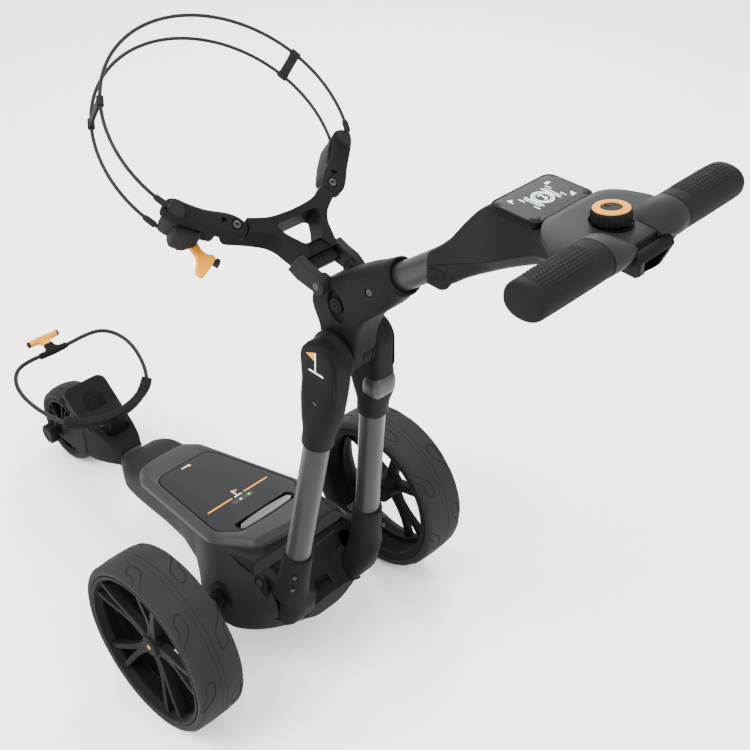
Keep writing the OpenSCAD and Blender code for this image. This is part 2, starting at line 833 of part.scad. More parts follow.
module strap_ends() {
    color(charcoal) at_frame() on_bracket() {
        for (i = [-1, 1]) on_side(i) translate([0, 0, -50]) linear_extrude(58)
            polygon([[146.5, 173], [150, 166], [162, 160], [166, 168], [158, 173.6]]);
        // the left end carries the latch
        translate([0, 0, -62]) linear_extrude(12)
            polygon([[-118, 150], [-112, 140], [-124, 130], [-150, 132], [-166, 150], [-158, 172]]);
        translate([-124, 140, -73]) cylinder(r = 3, h = 12);
    }
}

module latch_lever() {
    color(yellow) at_frame() on_bracket() translate([0, 0, -71]) difference() {
        union() {
            translate([-124, 140, 0]) cylinder(r = 8, h = 8.5);
            linear_extrude(8.5)
                polygon([[-130, 138], [-128, 116], [-140, 102], [-134, 92], [-108, 105], [-112, 116],
                    [-118, 120], [-117, 139]]);
        }
        translate([-124, 140, -1]) cylinder(r = 3 + fit, h = 12);
    }
}

chassis_shell();
trim_frame();
neck_tube();
front_housing();
base_plate();
base_screws();
front_axle();
strap_arm();
lower_cord();
tee_body();
tee_handle();
battery_contacts();
drive_units();
controller_board();
yoke_pins();
battery_case();
battery_cover();
battery_handle();
tyre_left();
rim_left();
hub_cap_left();
axle_left();
tyre_right();
rim_right();
hub_cap_right();
axle_right();
front_tyre();
front_rim();
track_knob();
leg_yoke();
leg_tubes();
knuckles();
hinge_covers();
hinge_pin();
leg_screws();
release_lever();
handle_casting();
hinge_drum();
fold_button();
bracket_pin();
handle_tube();
console_upper();
console_lower();
top_trim();
screen_bezel();
screen_glass();
display_board();
grips();
accessory_hook();
knob_stem();
knob_body();
knob_ring();
bag_bracket();
bag_pads();
pad_screws();
strap_ring_top();
strap_ring_low();
ring_clips();
strap_ends();
latch_lever();
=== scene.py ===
import json
import math
import random

import bmesh
import bpy
import numpy as np
from mathutils import Matrix, Vector


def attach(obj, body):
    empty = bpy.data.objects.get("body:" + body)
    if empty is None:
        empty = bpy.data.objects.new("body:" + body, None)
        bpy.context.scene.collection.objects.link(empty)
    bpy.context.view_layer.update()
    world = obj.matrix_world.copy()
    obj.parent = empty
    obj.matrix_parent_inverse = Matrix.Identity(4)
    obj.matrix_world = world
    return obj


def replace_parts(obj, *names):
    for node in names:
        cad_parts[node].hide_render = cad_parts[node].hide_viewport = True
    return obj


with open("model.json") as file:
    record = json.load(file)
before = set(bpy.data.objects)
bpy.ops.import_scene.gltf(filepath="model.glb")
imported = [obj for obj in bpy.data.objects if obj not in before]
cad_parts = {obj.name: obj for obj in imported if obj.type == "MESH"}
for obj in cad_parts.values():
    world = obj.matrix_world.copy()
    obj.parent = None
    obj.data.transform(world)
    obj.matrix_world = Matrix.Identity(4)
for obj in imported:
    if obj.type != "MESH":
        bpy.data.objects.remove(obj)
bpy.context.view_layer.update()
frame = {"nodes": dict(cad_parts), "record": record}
random.seed(7)

# where the row frame has its origin along the axle frame's Y
Y_REF = 67.0


def P(x, y, z):
    """A point of the axle frame, in millimetres, as a point of the row frame in metres."""
    return Vector((x, y - Y_REF, z)) / 1000.0


def placed(at, turn_x=0.0, turn_y=0.0, turn_z=0.0):
    """A frame at an axle-frame point: drawing inside it is in millimetres."""
    turns = (
        Matrix.Rotation(math.radians(turn_z), 4, "Z")
        @ Matrix.Rotation(math.radians(turn_x), 4, "X")
        @ Matrix.Rotation(math.radians(turn_y), 4, "Y")
    )
    return Matrix.Translation(P(*at)) @ turns @ Matrix.Scale(0.001, 4)


def shift(x, y, z):
    """A move inside a frame, in its millimetres."""
    return Matrix.Translation((x, y, z))


def spin(degrees, axis):
    """A turn about one of a frame's axes."""
    return Matrix.Rotation(math.radians(degrees), 4, axis)


def arc_points(radius, start, turn, steps, middle=(0.0, 0.0)):
    """Points on an arc: it starts at an angle and turns by another, in degrees, in equal steps."""
    angles = [math.radians(start + turn * k / steps) for k in range(steps + 1)]
    return [(middle[0] + radius * math.cos(a), middle[1] + radius * math.sin(a)) for a in angles]


def smoothstep(a, b, v):
    """A soft step from 0 at a to 1 at b."""
    t = np.clip((v - a) / (b - a), 0.0, 1.0)
    return t * t * (3.0 - 2.0 * t)


# ---------------------------------------------------------------- materials


def noise(nodes, links, where, scale, detail, roughness):
    """A noise that is fixed to the object."""
    node = nodes.new("ShaderNodeTexNoise")
    for word, value in (("Scale", scale), ("Detail", detail), ("Roughness", roughness)):
        node.inputs[word].default_value = value
    links.new(where.outputs["Object"], node.inputs["Vector"])
    return node


def surface(name, colour, rough, metal=0.0, grain=900.0, bump=0.15, mottle=0.12, coat=0.0, specular=0.5):
    """A procedural finish: a fine moulded or coated grain, with mottled colour and roughness."""
    material = bpy.data.materials.new(name)
    material.use_nodes = True
    nodes, links = material.node_tree.nodes, material.node_tree.links
    nodes.clear()
    out = nodes.new("ShaderNodeOutputMaterial")
    shader = nodes.new("ShaderNodeBsdfPrincipled")
    links.new(shader.outputs[0], out.inputs[0])
    shader.inputs["Metallic"].default_value = metal
    shader.inputs["Specular IOR Level"].default_value = specular
    shader.inputs["Coat Weight"].default_value = coat
    shader.inputs["Coat Roughness"].default_value = 0.25
    where = nodes.new("ShaderNodeTexCoord")
    fine = noise(nodes, links, where, grain, 3.0, 0.5)
    broad = noise(nodes, links, where, 14.0, 5.0, 0.6)
    lift = nodes.new("ShaderNodeBump")
    lift.inputs["Strength"].default_value = bump
    lift.inputs["Distance"].default_value = 0.0004
    links.new(fine.outputs["Fac"], lift.inputs["Height"])
    links.new(lift.outputs[0], shader.inputs["Normal"])
    tone = nodes.new("ShaderNodeMix")
    tone.data_type = "RGBA"
    tone.inputs["A"].default_value = tuple(c * (1.0 - mottle) for c in colour) + (1.0,)
    tone.inputs["B"].default_value = tuple(min(1.0, c * (1.0 + mottle)) for c in colour) + (1.0,)
    spread = nodes.new("ShaderNodeMapRange")
    spread.inputs["From Min"].default_value = 0.35
    spread.inputs["From Max"].default_value = 0.65
    links.new(broad.outputs["Fac"], spread.inputs["Value"])
    links.new(spread.outputs[0], tone.inputs["Factor"])
    links.new(tone.outputs["Result"], shader.inputs["Base Color"])
    polish = nodes.new("ShaderNodeMapRange")
    polish.inputs["To Min"].default_value = max(0.03, rough - 0.07)
    polish.inputs["To Max"].default_value = min(1.0, rough + 0.07)
    links.new(broad.outputs["Fac"], polish.inputs["Value"])
    links.new(polish.outputs[0], shader.inputs["Roughness"])
    return material


def glow(name, colour):
    """A flat printed or lit mark."""
    return surface(name, colour, 0.3, grain=900.0, bump=0.01, mottle=0.03)


MAT = {"shell": surface("moulded_charcoal", (0.0046, 0.0046, 0.0047), 0.62, bump=0.2, specular=0.045),
    "dark_shell": surface("moulded_black", (0.0026, 0.0026, 0.0027), 0.58, bump=0.2, specular=0.04),
    "trim": surface("gunmetal_paint", (0.0165, 0.0165, 0.0168), 0.46, metal=0.1, grain=1600.0, bump=0.06,
    specular=0.10), "tube": surface("satin_tube", (0.018, 0.018, 0.0184), 0.38, metal=0.45, grain=1400.0,
    bump=0.05, mottle=0.05, specular=0.2), "silver": surface("satin_silver", (0.42, 0.43, 0.45), 0.33,
    metal=0.6, grain=1400.0, bump=0.06, mottle=0.05), "yellow": surface("orange_yellow", (0.54, 0.205, 0.0),
    0.55, grain=1200.0, bump=0.08, mottle=0.05, specular=0.15),
    "rubber": surface("moulded_rubber", (0.0055, 0.0055, 0.0056), 0.68, grain=700.0, bump=0.25,
    specular=0.05), "shell_light": surface("moulded_grey_black", (0.0082, 0.0082, 0.0084), 0.60, bump=0.2,
    specular=0.05), "tyre": surface("foamed_tyre", (0.0125, 0.0125, 0.0128), 0.72, grain=650.0, bump=0.2,
    specular=0.06), "cord": surface("coated_elastic", (0.0062, 0.0062, 0.0065), 0.5, grain=1500.0, bump=0.15,
    specular=0.12), "steel": surface("turned_steel", (0.5, 0.5, 0.52), 0.28, metal=1.0, grain=1800.0,
    bump=0.05, mottle=0.05), "board": surface("lacquered_board", (0.02, 0.12, 0.05), 0.35, grain=500.0,
    bump=0.2), "glass": surface("display_window", (0.006, 0.006, 0.008), 0.08, grain=300.0, bump=0.01,
    mottle=0.05, coat=0.5), "dark_steel": surface("black_screw", (0.02, 0.02, 0.021), 0.4, metal=0.5,
    # the near-black finish below is the real colour of the badge screws, and painted shade for the rims'
    # barrels, the battery recess floor and the latch slots
    grain=1600.0, bump=0.05, specular=0.3), "black_and_painted_shade": surface("near_black_and_painted_shade", (0.0012, 0.0012, 0.0012),
    0.7, grain=900.0, bump=0.1, specular=0.05), "panel": surface("satin_panel", (0.0042, 0.0042, 0.0043),
    0.46, grain=1400.0, bump=0.06, specular=0.12), "grab": surface("satin_grab", (0.048, 0.048, 0.05), 0.38,
    metal=0.35, grain=1400.0, bump=0.05, mottle=0.05), "lamp_bed": surface("lamp_window",
    (0.004, 0.0045, 0.004), 0.25, grain=600.0, bump=0.02, specular=0.3),
    "lamp_green": surface("lamp_green", (0.05, 0.55, 0.06), 0.3, grain=900.0, bump=0.01, mottle=0.03),
    "mark_white": surface("mark_white", (0.62, 0.63, 0.64), 0.4, grain=900.0, bump=0.01, mottle=0.03),
    "ui_blue": glow("display_blue", (0.20, 0.42, 0.62)),
    "ui_white": glow("display_white", (0.85, 0.86, 0.88)),
    "ui_amber": glow("display_amber", (0.80, 0.48, 0.08)),
    "ui_green": glow("display_green", (0.18, 0.50, 0.20)),
    "trim_top": surface("console_grey", (0.0085, 0.0085, 0.0086), 0.55, grain=1500.0, bump=0.08,
    specular=0.07), "screen_face": surface("screen_face", (0.0028, 0.0028, 0.0029), 0.45, grain=300.0,
    bump=0.01, mottle=0.05, specular=0.04), "silver_dull": surface("satin_grey_lever", (0.022, 0.022, 0.023),
    0.36, metal=0.2, grain=1400.0, bump=0.05, mottle=0.05, specular=0.2), }


# ---------------------------------------------------------------- drawing helpers


PLAIN = {"material": "shell", "body": None, "smooth": False}  # a solid that only cuts or is still to be cut


def finish_mesh(ob, material, body, bevel=0.0, segments=2, angle=30.0, smooth=True):
    """Gives a mesh its material, its body, its rounded edges and its shading."""
    ob.data.materials.clear()
    ob.data.materials.append(MAT[material] if isinstance(material, str) else material)
    if bevel:
        w = ob.modifiers.new("edges", "BEVEL")
        w.width = bevel / 1000.0
        w.segments = segments
        w.limit_method = "ANGLE"
        w.angle_limit = math.radians(angle)
        w.harden_normals = True
    if smooth:
        ob.data.shade_smooth()
        if hasattr(ob.data, "set_sharp_from_angle"):
            ob.data.set_sharp_from_angle(angle=math.radians(max(angle, 32.0)))
    if body:
        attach(ob, body)
    return ob


def mesh_object(name, points, faces, matrix=None, **look):
    """A mesh in the row frame from points in matrix's frame, in millimetres."""
    matrix = placed((0, 0, 0)) if matrix is None else matrix
    data = bpy.data.meshes.new(name)
    data.from_pydata([matrix @ Vector(p) for p in points], [], faces)
    bm = bmesh.new()
    bm.from_mesh(data)
    bmesh.ops.recalc_face_normals(bm, faces=bm.faces)
    bm.to_mesh(data)
    bm.free()
    data.validate()
    ob = bpy.data.objects.new(name, data)
    bpy.context.scene.collection.objects.link(ob)
    return finish_mesh(ob, **look)


def skin(rings, closed_ends=True, wrap=False):
    """Faces between rings of equal length, one after another."""
    n, faces = len(rings[0]), []
    count = len(rings)
    for i in range(count if wrap else count - 1):
        j = (i + 1) % count
        faces += [(i * n + k, i * n + (k + 1) % n, j * n + (k + 1) % n, j * n + k) for k in range(n)]
    if closed_ends and not wrap:
        faces += [tuple(range(n))[::-1], tuple((count - 1) * n + k for k in range(n))]
    return [p for ring in rings for p in ring], faces


def revolve(name, profile, steps, matrix, closed=False, **look):
    """Turns (radius, height) points about the frame's Z axis."""
    rings = []
    for k in range(steps):
        a = 2 * math.pi * k / steps
        rings.append([(r * math.cos(a), r * math.sin(a), h) for r, h in profile])
    n, faces = len(profile), []
    for k in range(steps):
        j = (k + 1) % steps
        for i in range(n if closed else n - 1):
            faces.append((k * n + i, k * n + (i + 1) % n, j * n + (i + 1) % n, j * n + i))
    points = [p for ring in rings for p in ring]
    data = bpy.data.meshes.new(name)
    data.from_pydata([matrix @ Vector(p) for p in points], [], faces)
    bm = bmesh.new()
    bm.from_mesh(data)
    bmesh.ops.remove_doubles(bm, verts=bm.verts, dist=1e-6)
    bmesh.ops.recalc_face_normals(bm, faces=bm.faces)
    bm.to_mesh(data)
    bm.free()
    ob = bpy.data.objects.new(name, data)
    bpy.context.scene.collection.objects.link(ob)
    return finish_mesh(ob, **look)


def rounded(outline, radius, steps=5):
    """An outline with its corners rounded. radius is one number, or one for each corner."""
    n, out = len(outline), []
    for i in range(n):
        a, b, c = (Vector(outline[(i + d) % n]) for d in (-1, 0, 1))
        r = radius if isinstance(radius, (int, float)) else radius[i]
        u, v = (a - b), (c - b)
        cut = min(r, 0.45 * u.length, 0.45 * v.length)
        if cut < 0.05:
            out.append(tuple(b))
            continue
        p, q = b + u.normalized() * cut, b + v.normalized() * cut
        for k in range(steps + 1):
            t = k / steps
            out.append(tuple((1 - t) ** 2 * p + 2 * t * (1 - t) * b + t * t * q))
    return out


def slab(name, outline, low, high, matrix=None, radius=0.0, **look):
    """An outline in the frame's XY plane, raised from low to high."""
    flat = rounded(outline, radius) if radius else outline
    rings = [[(x, y, low) for x, y in flat], [(x, y, high) for x, y in flat]]
    points, faces = skin(rings)
    return mesh_object(name, points, faces, matrix, **look)


def side_slab(name, outline, low, high, radius=0.0, **look):
    """An outline in the YZ plane, raised along X from low to high."""
    flat = rounded(outline, radius) if radius else outline
    rings = [[(low, y, z) for y, z in flat], [(high, y, z) for y, z in flat]]
    points, faces = skin(rings)
    return mesh_object(name, points, faces, None, **look)


def loft(name, rings, matrix=None, **look):
    """A closed solid through rings of equal length."""
    points, faces = skin(rings)
    return mesh_object(name, points, faces, matrix, **look)


def both(half):
    """A half outline from front to back, with its mirror image."""
    return half + [(-x, y) for x, y in reversed(half) if x > 0.001]


# ---------------------------------------------------------------- camera, light and floor

camera = bpy.data.objects.new("camera", bpy.data.cameras.new("camera"))
bpy.context.scene.collection.objects.link(camera)
RIGHT = Vector((0.6962, -0.7175, 0.0246))
UP = Vector((0.4169, 0.4320, 0.7997))
BACK = Vector((-0.5844, -0.5465, 0.5999))
turn = Matrix((RIGHT, UP, BACK)).transposed()
camera.matrix_world = Matrix.Translation(P(-883.5, -1027.9,
    1550.2)) @ turn.to_quaternion().to_matrix().to_4x4()
camera.data.sensor_width = 36.0
camera.data.lens = 53.95
camera.data.clip_start = 0.05
camera.data.clip_end = 60.0
bpy.context.scene.camera = camera

world = bpy.data.worlds.new("studio")
world.use_nodes = True
world.node_tree.nodes["Background"].inputs[0].default_value = (0.93, 0.95, 1.0, 1.0)
world.node_tree.nodes["Background"].inputs[1].default_value = 2.6
bpy.context.scene.world = world


def light(name, at, aim, size, power):
    """A round area light that faces a point."""
    lamp = bpy.data.objects.new(name, bpy.data.lights.new(name, "AREA"))
    lamp.data.shape = "DISK"
    lamp.data.size = size
    lamp.data.energy = power
    lamp.location = at
    lamp.rotation_euler = (Vector(aim) - Vector(at)).to_track_quat("-Z", "Y").to_euler()
    bpy.context.scene.collection.objects.link(lamp)
    return lamp


light("key", (-1.9, 0.2, 3.0), (0, 0, 0.3), 1.8, 190.0)
light("fill", (0.6, -2.6, 2.2), (0, 0, 0.4), 2.0, 60.0)
light("rim", (2.4, 1.6, 2.4), (0, 0, 0.5), 1.4, 110.0)

floor_mat = surface("pale_floor", (0.93, 0.93, 0.935), 0.9, grain=60.0, bump=0.02, mottle=0.006, specular=0.1)
data = bpy.data.meshes.new("floor")
data.from_pydata([(-14, -14, 0), (14, -14, 0), (14, 14, 0), (-14, 14, 0)], [], [(0, 1, 2, 3)])
floor = bpy.data.objects.new("floor", data)
bpy.context.scene.collection.objects.link(floor)
data.materials.append(floor_mat)

# ---------------------------------------------------------------- CAD nodes that are shown as they are

slot_of = {s["node"]: s["material_slot"] for s in frame["record"]["subparts"]}
# width of the rounded edges of the CAD nodes that stay in view
EDGE = {
    "neck_tube": 1.0,
    "battery_case": 2.0,
}
# CAD nodes whose look differs from the one of their slot
DARKER = {
    "drive_units": "dark_shell",
    "leg_screws": "dark_steel",
    "axle_left": "dark_steel",
    "axle_right": "dark_steel",
    "yoke_pins": "dark_steel",
    "front_axle": "dark_steel",
    "bracket_pin": "dark_steel",
    "hinge_pin": "dark_steel",
}
for node, ob in frame["nodes"].items():
    finish_mesh(ob, DARKER.get(node, slot_of[node]), None, bevel=EDGE.get(node, 0.0))

# ---------------------------------------------------------------- rear wheels

WHEEL_X = 252.8
REAR_RADIUS = 150.0
HOOK = [(16.5, 46.0), (10.8, 31.0), (3.9, 32.0), (0.2, 24.0), (0.0, 17.4), (2.6, 14.4), (10.7, 16.1),
    (23.2, 46.0)]
HOOK_PITCH = 45.0
MM_PER_DEGREE = REAR_RADIUS * math.pi / 180.0


def inside_distance(u, v, outline):
    """How far a point lies inside an outline: negative outside it."""
    best = np.full(u.shape, 1e9)
    inside = np.zeros(u.shape, bool)
    for (ax, ay), (bx, by) in zip(outline, outline[1:] + outline[:1]):
        dx, dy = bx - ax, by - ay
        t = np.clip(((u - ax) * dx + (v - ay) * dy) / (dx * dx + dy * dy), 0.0, 1.0)
        best = np.minimum(best, np.hypot(u - ax - t * dx, v - ay - t * dy))
        crosses = (ay > v) != (by > v)
        with np.errstate(divide="ignore", invalid="ignore"):
            at = ax + (v - ay) * dx / (dy if dy else 1e-9)
        inside ^= crosses & (u < at)
    return np.where(inside, best, -best)


def tread_depth(degrees, outward):
    """Depth of the tread at an angle round the tyre and a distance outward from its middle."""
    hook = rounded([(a * MM_PER_DEGREE, w) for a, w in HOOK], 4.5, 4)
    depth = np.zeros(degrees.shape)
    for way, start in ((1, 120.0), (-1, 106.8)):
        turn = (degrees - start) * way
        turn = np.mod(turn + 11.0, HOOK_PITCH) - 11.0
        d = inside_distance(turn * MM_PER_DEGREE, outward * way, hook)
        depth = np.maximum(depth, 0.7 * smoothstep(-0.2, 0.6, d))
        depth = np.maximum(depth, 1.9 * (1 - smoothstep(0.55, 1.25, np.abs(d))))
    for line in (-4.5, 4.5):
        depth = np.maximum(depth, 0.9 * (1 - smoothstep(0.3, 0.95, np.abs(outward - line))))
    return depth


def tyre_grid(profile, steps):
    """The profile's radii and distances across, the angles round the tyre, and both spread over its skin."""
    radius = np.array([p[0] for p in profile])[None, :]
    across = np.array([p[1] for p in profile])[None, :]
    angle = (np.arange(steps) * 2 * math.pi / steps)[:, None]
    return (radius, across, angle, *np.broadcast_arrays(angle, across))


def tyre_skin(across, r, angle, middle):
    """Points and four-sided faces of a tyre whose radius is r at every angle and distance across."""
    points = np.stack([np.broadcast_to(across, r.shape), r * np.cos(angle), r * np.sin(angle)],
        -1).reshape(-1, 3)
    points = points + np.array(middle)
    steps, n = r.shape
    k = np.arange(steps)[:, None] * n
    k2 = ((np.arange(steps) + 1) % steps)[:, None] * n
    i = np.arange(n)[None, :]
    i2 = (np.arange(n) + 1)[None, :] % n
    quads = np.stack([k + i, k + i2, k2 + i2, k2 + i], -1).reshape(-1, 4)
    return points.tolist(), quads.tolist()


def tyre(name, side, body):
    """A foamed tyre with its cut tread, revolved about the wheel's axis."""
    steps = 1260
    tread = [(REAR_RADIUS - 1.3 * (abs(x) / 33.0) ** 3, x) for x in np.linspace(-36.0, 36.0, 116)]
    shoulder = [(147.7, 37.4), (146.6, 39.0), (145.0, 40.4), (143.0, 41.3), (140.5, 41.7), (137.5, 41.4),
        (135.4, 40.6), (134.2, 39.4)]
    profile = [(r, -x) for r, x in reversed(shoulder)] + tread + shoulder + [(133.4, 30.0), (133.4, -30.0)]
    radius, across, angle, grid_angle, grid_across = tyre_grid(profile, steps)
    fade = smoothstep(139.5, 144.5, radius)
    r = radius - tread_depth(np.degrees(grid_angle), grid_across * side) * fade
    points, quads = tyre_skin(across, r, angle, [side * WHEEL_X, 0.0, 150.0])
    ob = mesh_object(name, points, quads, None, material="tyre", body=body, angle=50.0)
    return ob


def axle_frame(middle, side):
    """A frame on an axle: z points outward along it, x lies along world +Y and y along world +Z."""
    turn = Matrix(((0, 0, side), (1, 0, 0), (0, 1, 0))).to_4x4()
    return Matrix.Translation(P(*middle)) @ turn @ Matrix.Scale(0.001, 4)


def wheel_frame(side):
    """A rear wheel's own frame."""
    return axle_frame((side * WHEEL_X, 0, 150), side)


def spoke_rings(half, radii, split, width, depth, face):
    """Rings of one arm of a double spoke, from the hub to the ring; split, width and face go with radius."""
    rings = []
    for r in radii:
        w, d, f = width(r) / 2, depth(r), face(r)
        ring = rounded([(-w * 0.9, -d), (w * 0.9, -d), (w, 0), (-w, 0)], 1.1, 2)
        rings.append([(r, half * split(r) + a, f + b) for a, b in ring])
    return rings


def spokes(name, m, starts, material, body, **shape):
    """Double spokes at the given starting angles."""
    points, faces = [], []
    for base in starts:
        c, s = math.cos(math.radians(base)), math.sin(math.radians(base))
        for half in (-1, 1):
            p, f = skin(spoke_rings(half, **shape))
            k = len(points)
            points += [(c * x - s * y, s * x + c * y, z) for x, y, z in p]
            faces += [tuple(k + q for q in face) for face in f]
    return mesh_object(name, points, faces, m, material=material, body=body, angle=42.0)


def rim(name, side, body):
    """A moulded rim: a deep ring, a hub and five double spokes that split in a V."""
    m = wheel_frame(side)
    ring = revolve(name + "_ring", [(122.0, -39), (127, -40.4), (133.4, -40.4), (134.0, -39), (134.0, 38.8),
        (133.2, 40.6), (130.2, 41.2), (127.6, 40.4), (125.6, 37.0), (124.4, 31.0), (122.6, 29.4),
        (122.4, 27.0), (126.0, 26.0)], 160, m, closed=True, material="shell", body=body, angle=40.0)
    # the barrel is near-black: painted shade for the shaded inside of the wheel
    barrel = revolve(name + "_barrel", [(122.8, -38.6), (126.6, -38.6), (126.6, 28.6), (122.7, 28.6),
        (122.2, 12.0), (118.5, 9.0), (116.0, 8.6), (115.4, 5.0), (118.0, 2.0), (121.5, 0.0)], 160, m,
        closed=True, material="black_and_painted_shade", body=body, angle=40.0)
    arms = spokes(name + "_spokes", m, [26 + 72 * i for i in range(5)], "shell", body,
        radii=[16, 24, 34, 44, 54, 68, 84, 100, 114, 125.5],
        split=lambda r: 3.7 + 13.4 * float(smoothstep(38, 150, np.array(r))) * 1.35,
        width=lambda r: 11.2 - 1.6 * float(smoothstep(34, 90, np.array(r))),
        depth=lambda r: 17.0 - 4.0 * math.sin(math.pi * (r - 16) / 110),
        face=lambda r: 24.0 + 12.0 * float(smoothstep(30, 128, np.array(r))))
    hub = revolve(name + "_hub", [(7.6, -20), (24, -20), (26, -18), (26, 12), (24.6, 20.5), (22.6, 23.4),
        (19.6, 24.2), (7.6, 24.2)], 72, m, closed=True, material="dark_shell", body=body, angle=40.0)
    cap = revolve(name + "_cap", [(0, 28.9), (9.4, 28.7), (9.9, 28.1), (10.5, 28.7), (15.4, 28.3),
        (17.6, 27.2), (18.9, 25.2), (19.2, 22)], 72, m, material="shell", body=body, angle=30.0)
    word = "left" if side < 0 else "right"
    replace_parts(ring, "rim_" + word)
    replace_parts(cap, "hub_cap_" + word)
    dot = revolve(name + "_dot", [(0, 29.3), (3.6, 29.2), (4.1, 28.6)], 40, m, material="yellow", body=body,
        angle=40.0)


for side, word in ((-1, "left"), (1, "right")):
    wheel_body = "wheel_" + word
    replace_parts(tyre("rear_tyre_" + word, side, wheel_body), "tyre_" + word)
    rim("wheel_rim_" + word, side, wheel_body)

# ---------------------------------------------------------------- front wheel and tracking knob

FRONT_AXIS = (0.0, 630.0, 80.0)


def front_frame(side=1):
    """The front wheel's own frame, on one of its sides."""
    return axle_frame(FRONT_AXIS, side)


def front_tyre():
    """The front tyre with its cut tread."""
    steps = 720
    tread = [(80.0 - 5.2 * (abs(x) / 28.5) ** 2.4, x) for x in np.linspace(-28.5, 28.5, 64)]
    shoulder = [(73.6, 30.6), (72.0, 32.0), (70.0, 32.8), (67.4, 32.9), (64.4, 31.6), (62.0, 29.6)]
    profile = [(r, -x) for r, x in reversed(shoulder)] + tread + shoulder + [(60.0, 24.0), (60.0, -24.0)]
    radius, across, angle, grid_angle, grid_across = tyre_grid(profile, steps)
    degrees = np.degrees(grid_angle)
    depth = np.zeros(degrees.shape)
    hook = [(a * 1.4, w * 0.72) for a, w in rounded(HOOK, 4.0, 4)]
    for way, start in ((1, 120.0), (-1, 98.0)):
        turn = np.mod((degrees - start) * way + 11.0, 45.0) - 11.0
        d = inside_distance(turn * 1.4, -grid_across * way, hook)
        depth = np.maximum(depth, 1.1 * smoothstep(-0.2, 0.7, d))
    r = radius - depth * smoothstep(69.0, 73.5, radius)
    points, quads = tyre_skin(across, r, angle, FRONT_AXIS)
    ob = mesh_object("front_tyre_cut", points, quads, None, material="tyre", body="wheel_front", angle=50.0)
    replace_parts(ob, "front_tyre")


def front_rim():
    """The front wheel's rim, with spokes and a hub on each side."""
    ring = revolve("front_rim_ring", [(54.0, -30), (60.5, -31.4), (62.0, -30.4), (60.4, -26), (60.4, 26),
        (62.0, 30.4), (60.5, 31.4), (54.0, 30), (53.0, 20), (53.0, -20)], 120, front_frame(), closed=True,
        material="dark_shell", body="wheel_front", angle=40.0)
    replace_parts(ring, "front_rim")
    for side in (-1, 1):
        spokes(f"front_spokes_{side + 1}", front_frame(side), [26 + 72 * i for i in range(5)],
            "dark_shell", "wheel_front", radii=[8, 14, 20, 28, 38, 48, 56],
            split=lambda r: 2.4 + 6.8 * float(smoothstep(14, 64, np.array(r))), width=lambda r: 5.4,
            depth=lambda r: 7.5, face=lambda r: 33.5 - 4.5 * float(smoothstep(12, 56, np.array(r))))
        revolve(f"front_hub_{side + 1}", [(5.2, 2), (11, 2), (12.4, 4), (12.4, 31), (11.4, 34.6),
            (5.2, 35.6)], 48, front_frame(side), closed=True, material="dark_shell", body="wheel_front",
            angle=40.0)


def track_knob():
    """A lobed hand knob on the near end of the front axle."""
    rings = []
    count = 144
    for h, grow in ((46.4, -13.0), (51.6, -13.0), (52.0, -3.0), (53.0, -0.9), (55.0, 0.0), (67.5, 0.0),
            (69.6, -1.0), (70.8, -3.4), (71.0, -6.0), (70.4, -8.0), (69.8, -15.0)):
        ring = []
        for k in range(count):
            a = 2 * math.pi * k / count
            lobe = 0.5 + 0.5 * math.cos(9 * a)
            r = 20.6 + grow - 2.2 * (1 - lobe) ** 2 * (1.0 if grow > -5 else 0.0)
            ring.append((r * math.cos(a), r * math.sin(a), h))
        rings.append(ring)
    ob = loft("tracking_knob_body", rings, front_frame(-1), material="shell", body="tracking_knob",
        angle=38.0)
    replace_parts(ob, "track_knob")


front_tyre()
front_rim()
track_knob()

# ---------------------------------------------------------------- chassis shell, trim and battery

SLOPE = 10.8


DECK_MIDDLE = (0, 114, 213)


def on_deck():
    """The battery deck's frame: z = 0 is the battery's top face, x and y as in the axle frame."""
    return placed(DECK_MIDDLE, turn_x=-SLOPE) @ shift(0, -DECK_MIDDLE[1], 0)


def eased(stations, key, y, spread=7.0):
    """A value between stations, linear and then softened, so that corners in the plan are rounded."""
    rows = sorted(stations)
    ys = np.array([s[0] for s in rows], float)
    vs = np.array([s[key] for s in rows], float)
    around = np.linspace(-2.0 * spread, 2.0 * spread, 17)
    weight = np.exp(-0.5 * (around / spread) ** 2)
    return float(np.sum(np.interp(y + around, ys, vs) * weight) / np.sum(weight))


def resampled(outline, count):
    """The outline with count points at equal steps along it, from its first point."""
    pts = [Vector(p) for p in outline]
    lengths = [(b - a).length for a, b in zip(pts, pts[1:] + pts[:1])]
    total, out, i, run = sum(lengths), [], 0, 0.0
    for k in range(count):
        want = total * k / count
        while run + lengths[i] < want:
            run += lengths[i]
            i += 1
        a, b = pts[i], pts[(i + 1) % len(pts)]
        out.append(tuple(a.lerp(b, (want - run) / max(lengths[i], 1e-9))))
    return out


def cut_by(ob, cutters):
    """Cuts plain closed solids out of a mesh, once and for all."""
    for c in cutters:
        b = ob.modifiers.new("cut", "BOOLEAN")
        b.operation = "DIFFERENCE"
        b.solver = "EXACT"
        b.object = c
    bpy.context.view_layer.update()
    dg = bpy.context.evaluated_depsgraph_get()
    data = bpy.data.meshes.new_from_object(ob.evaluated_get(dg))
    ob.modifiers.clear()
    ob.data = data
    for c in cutters:
        bpy.data.objects.remove(c)
    return ob


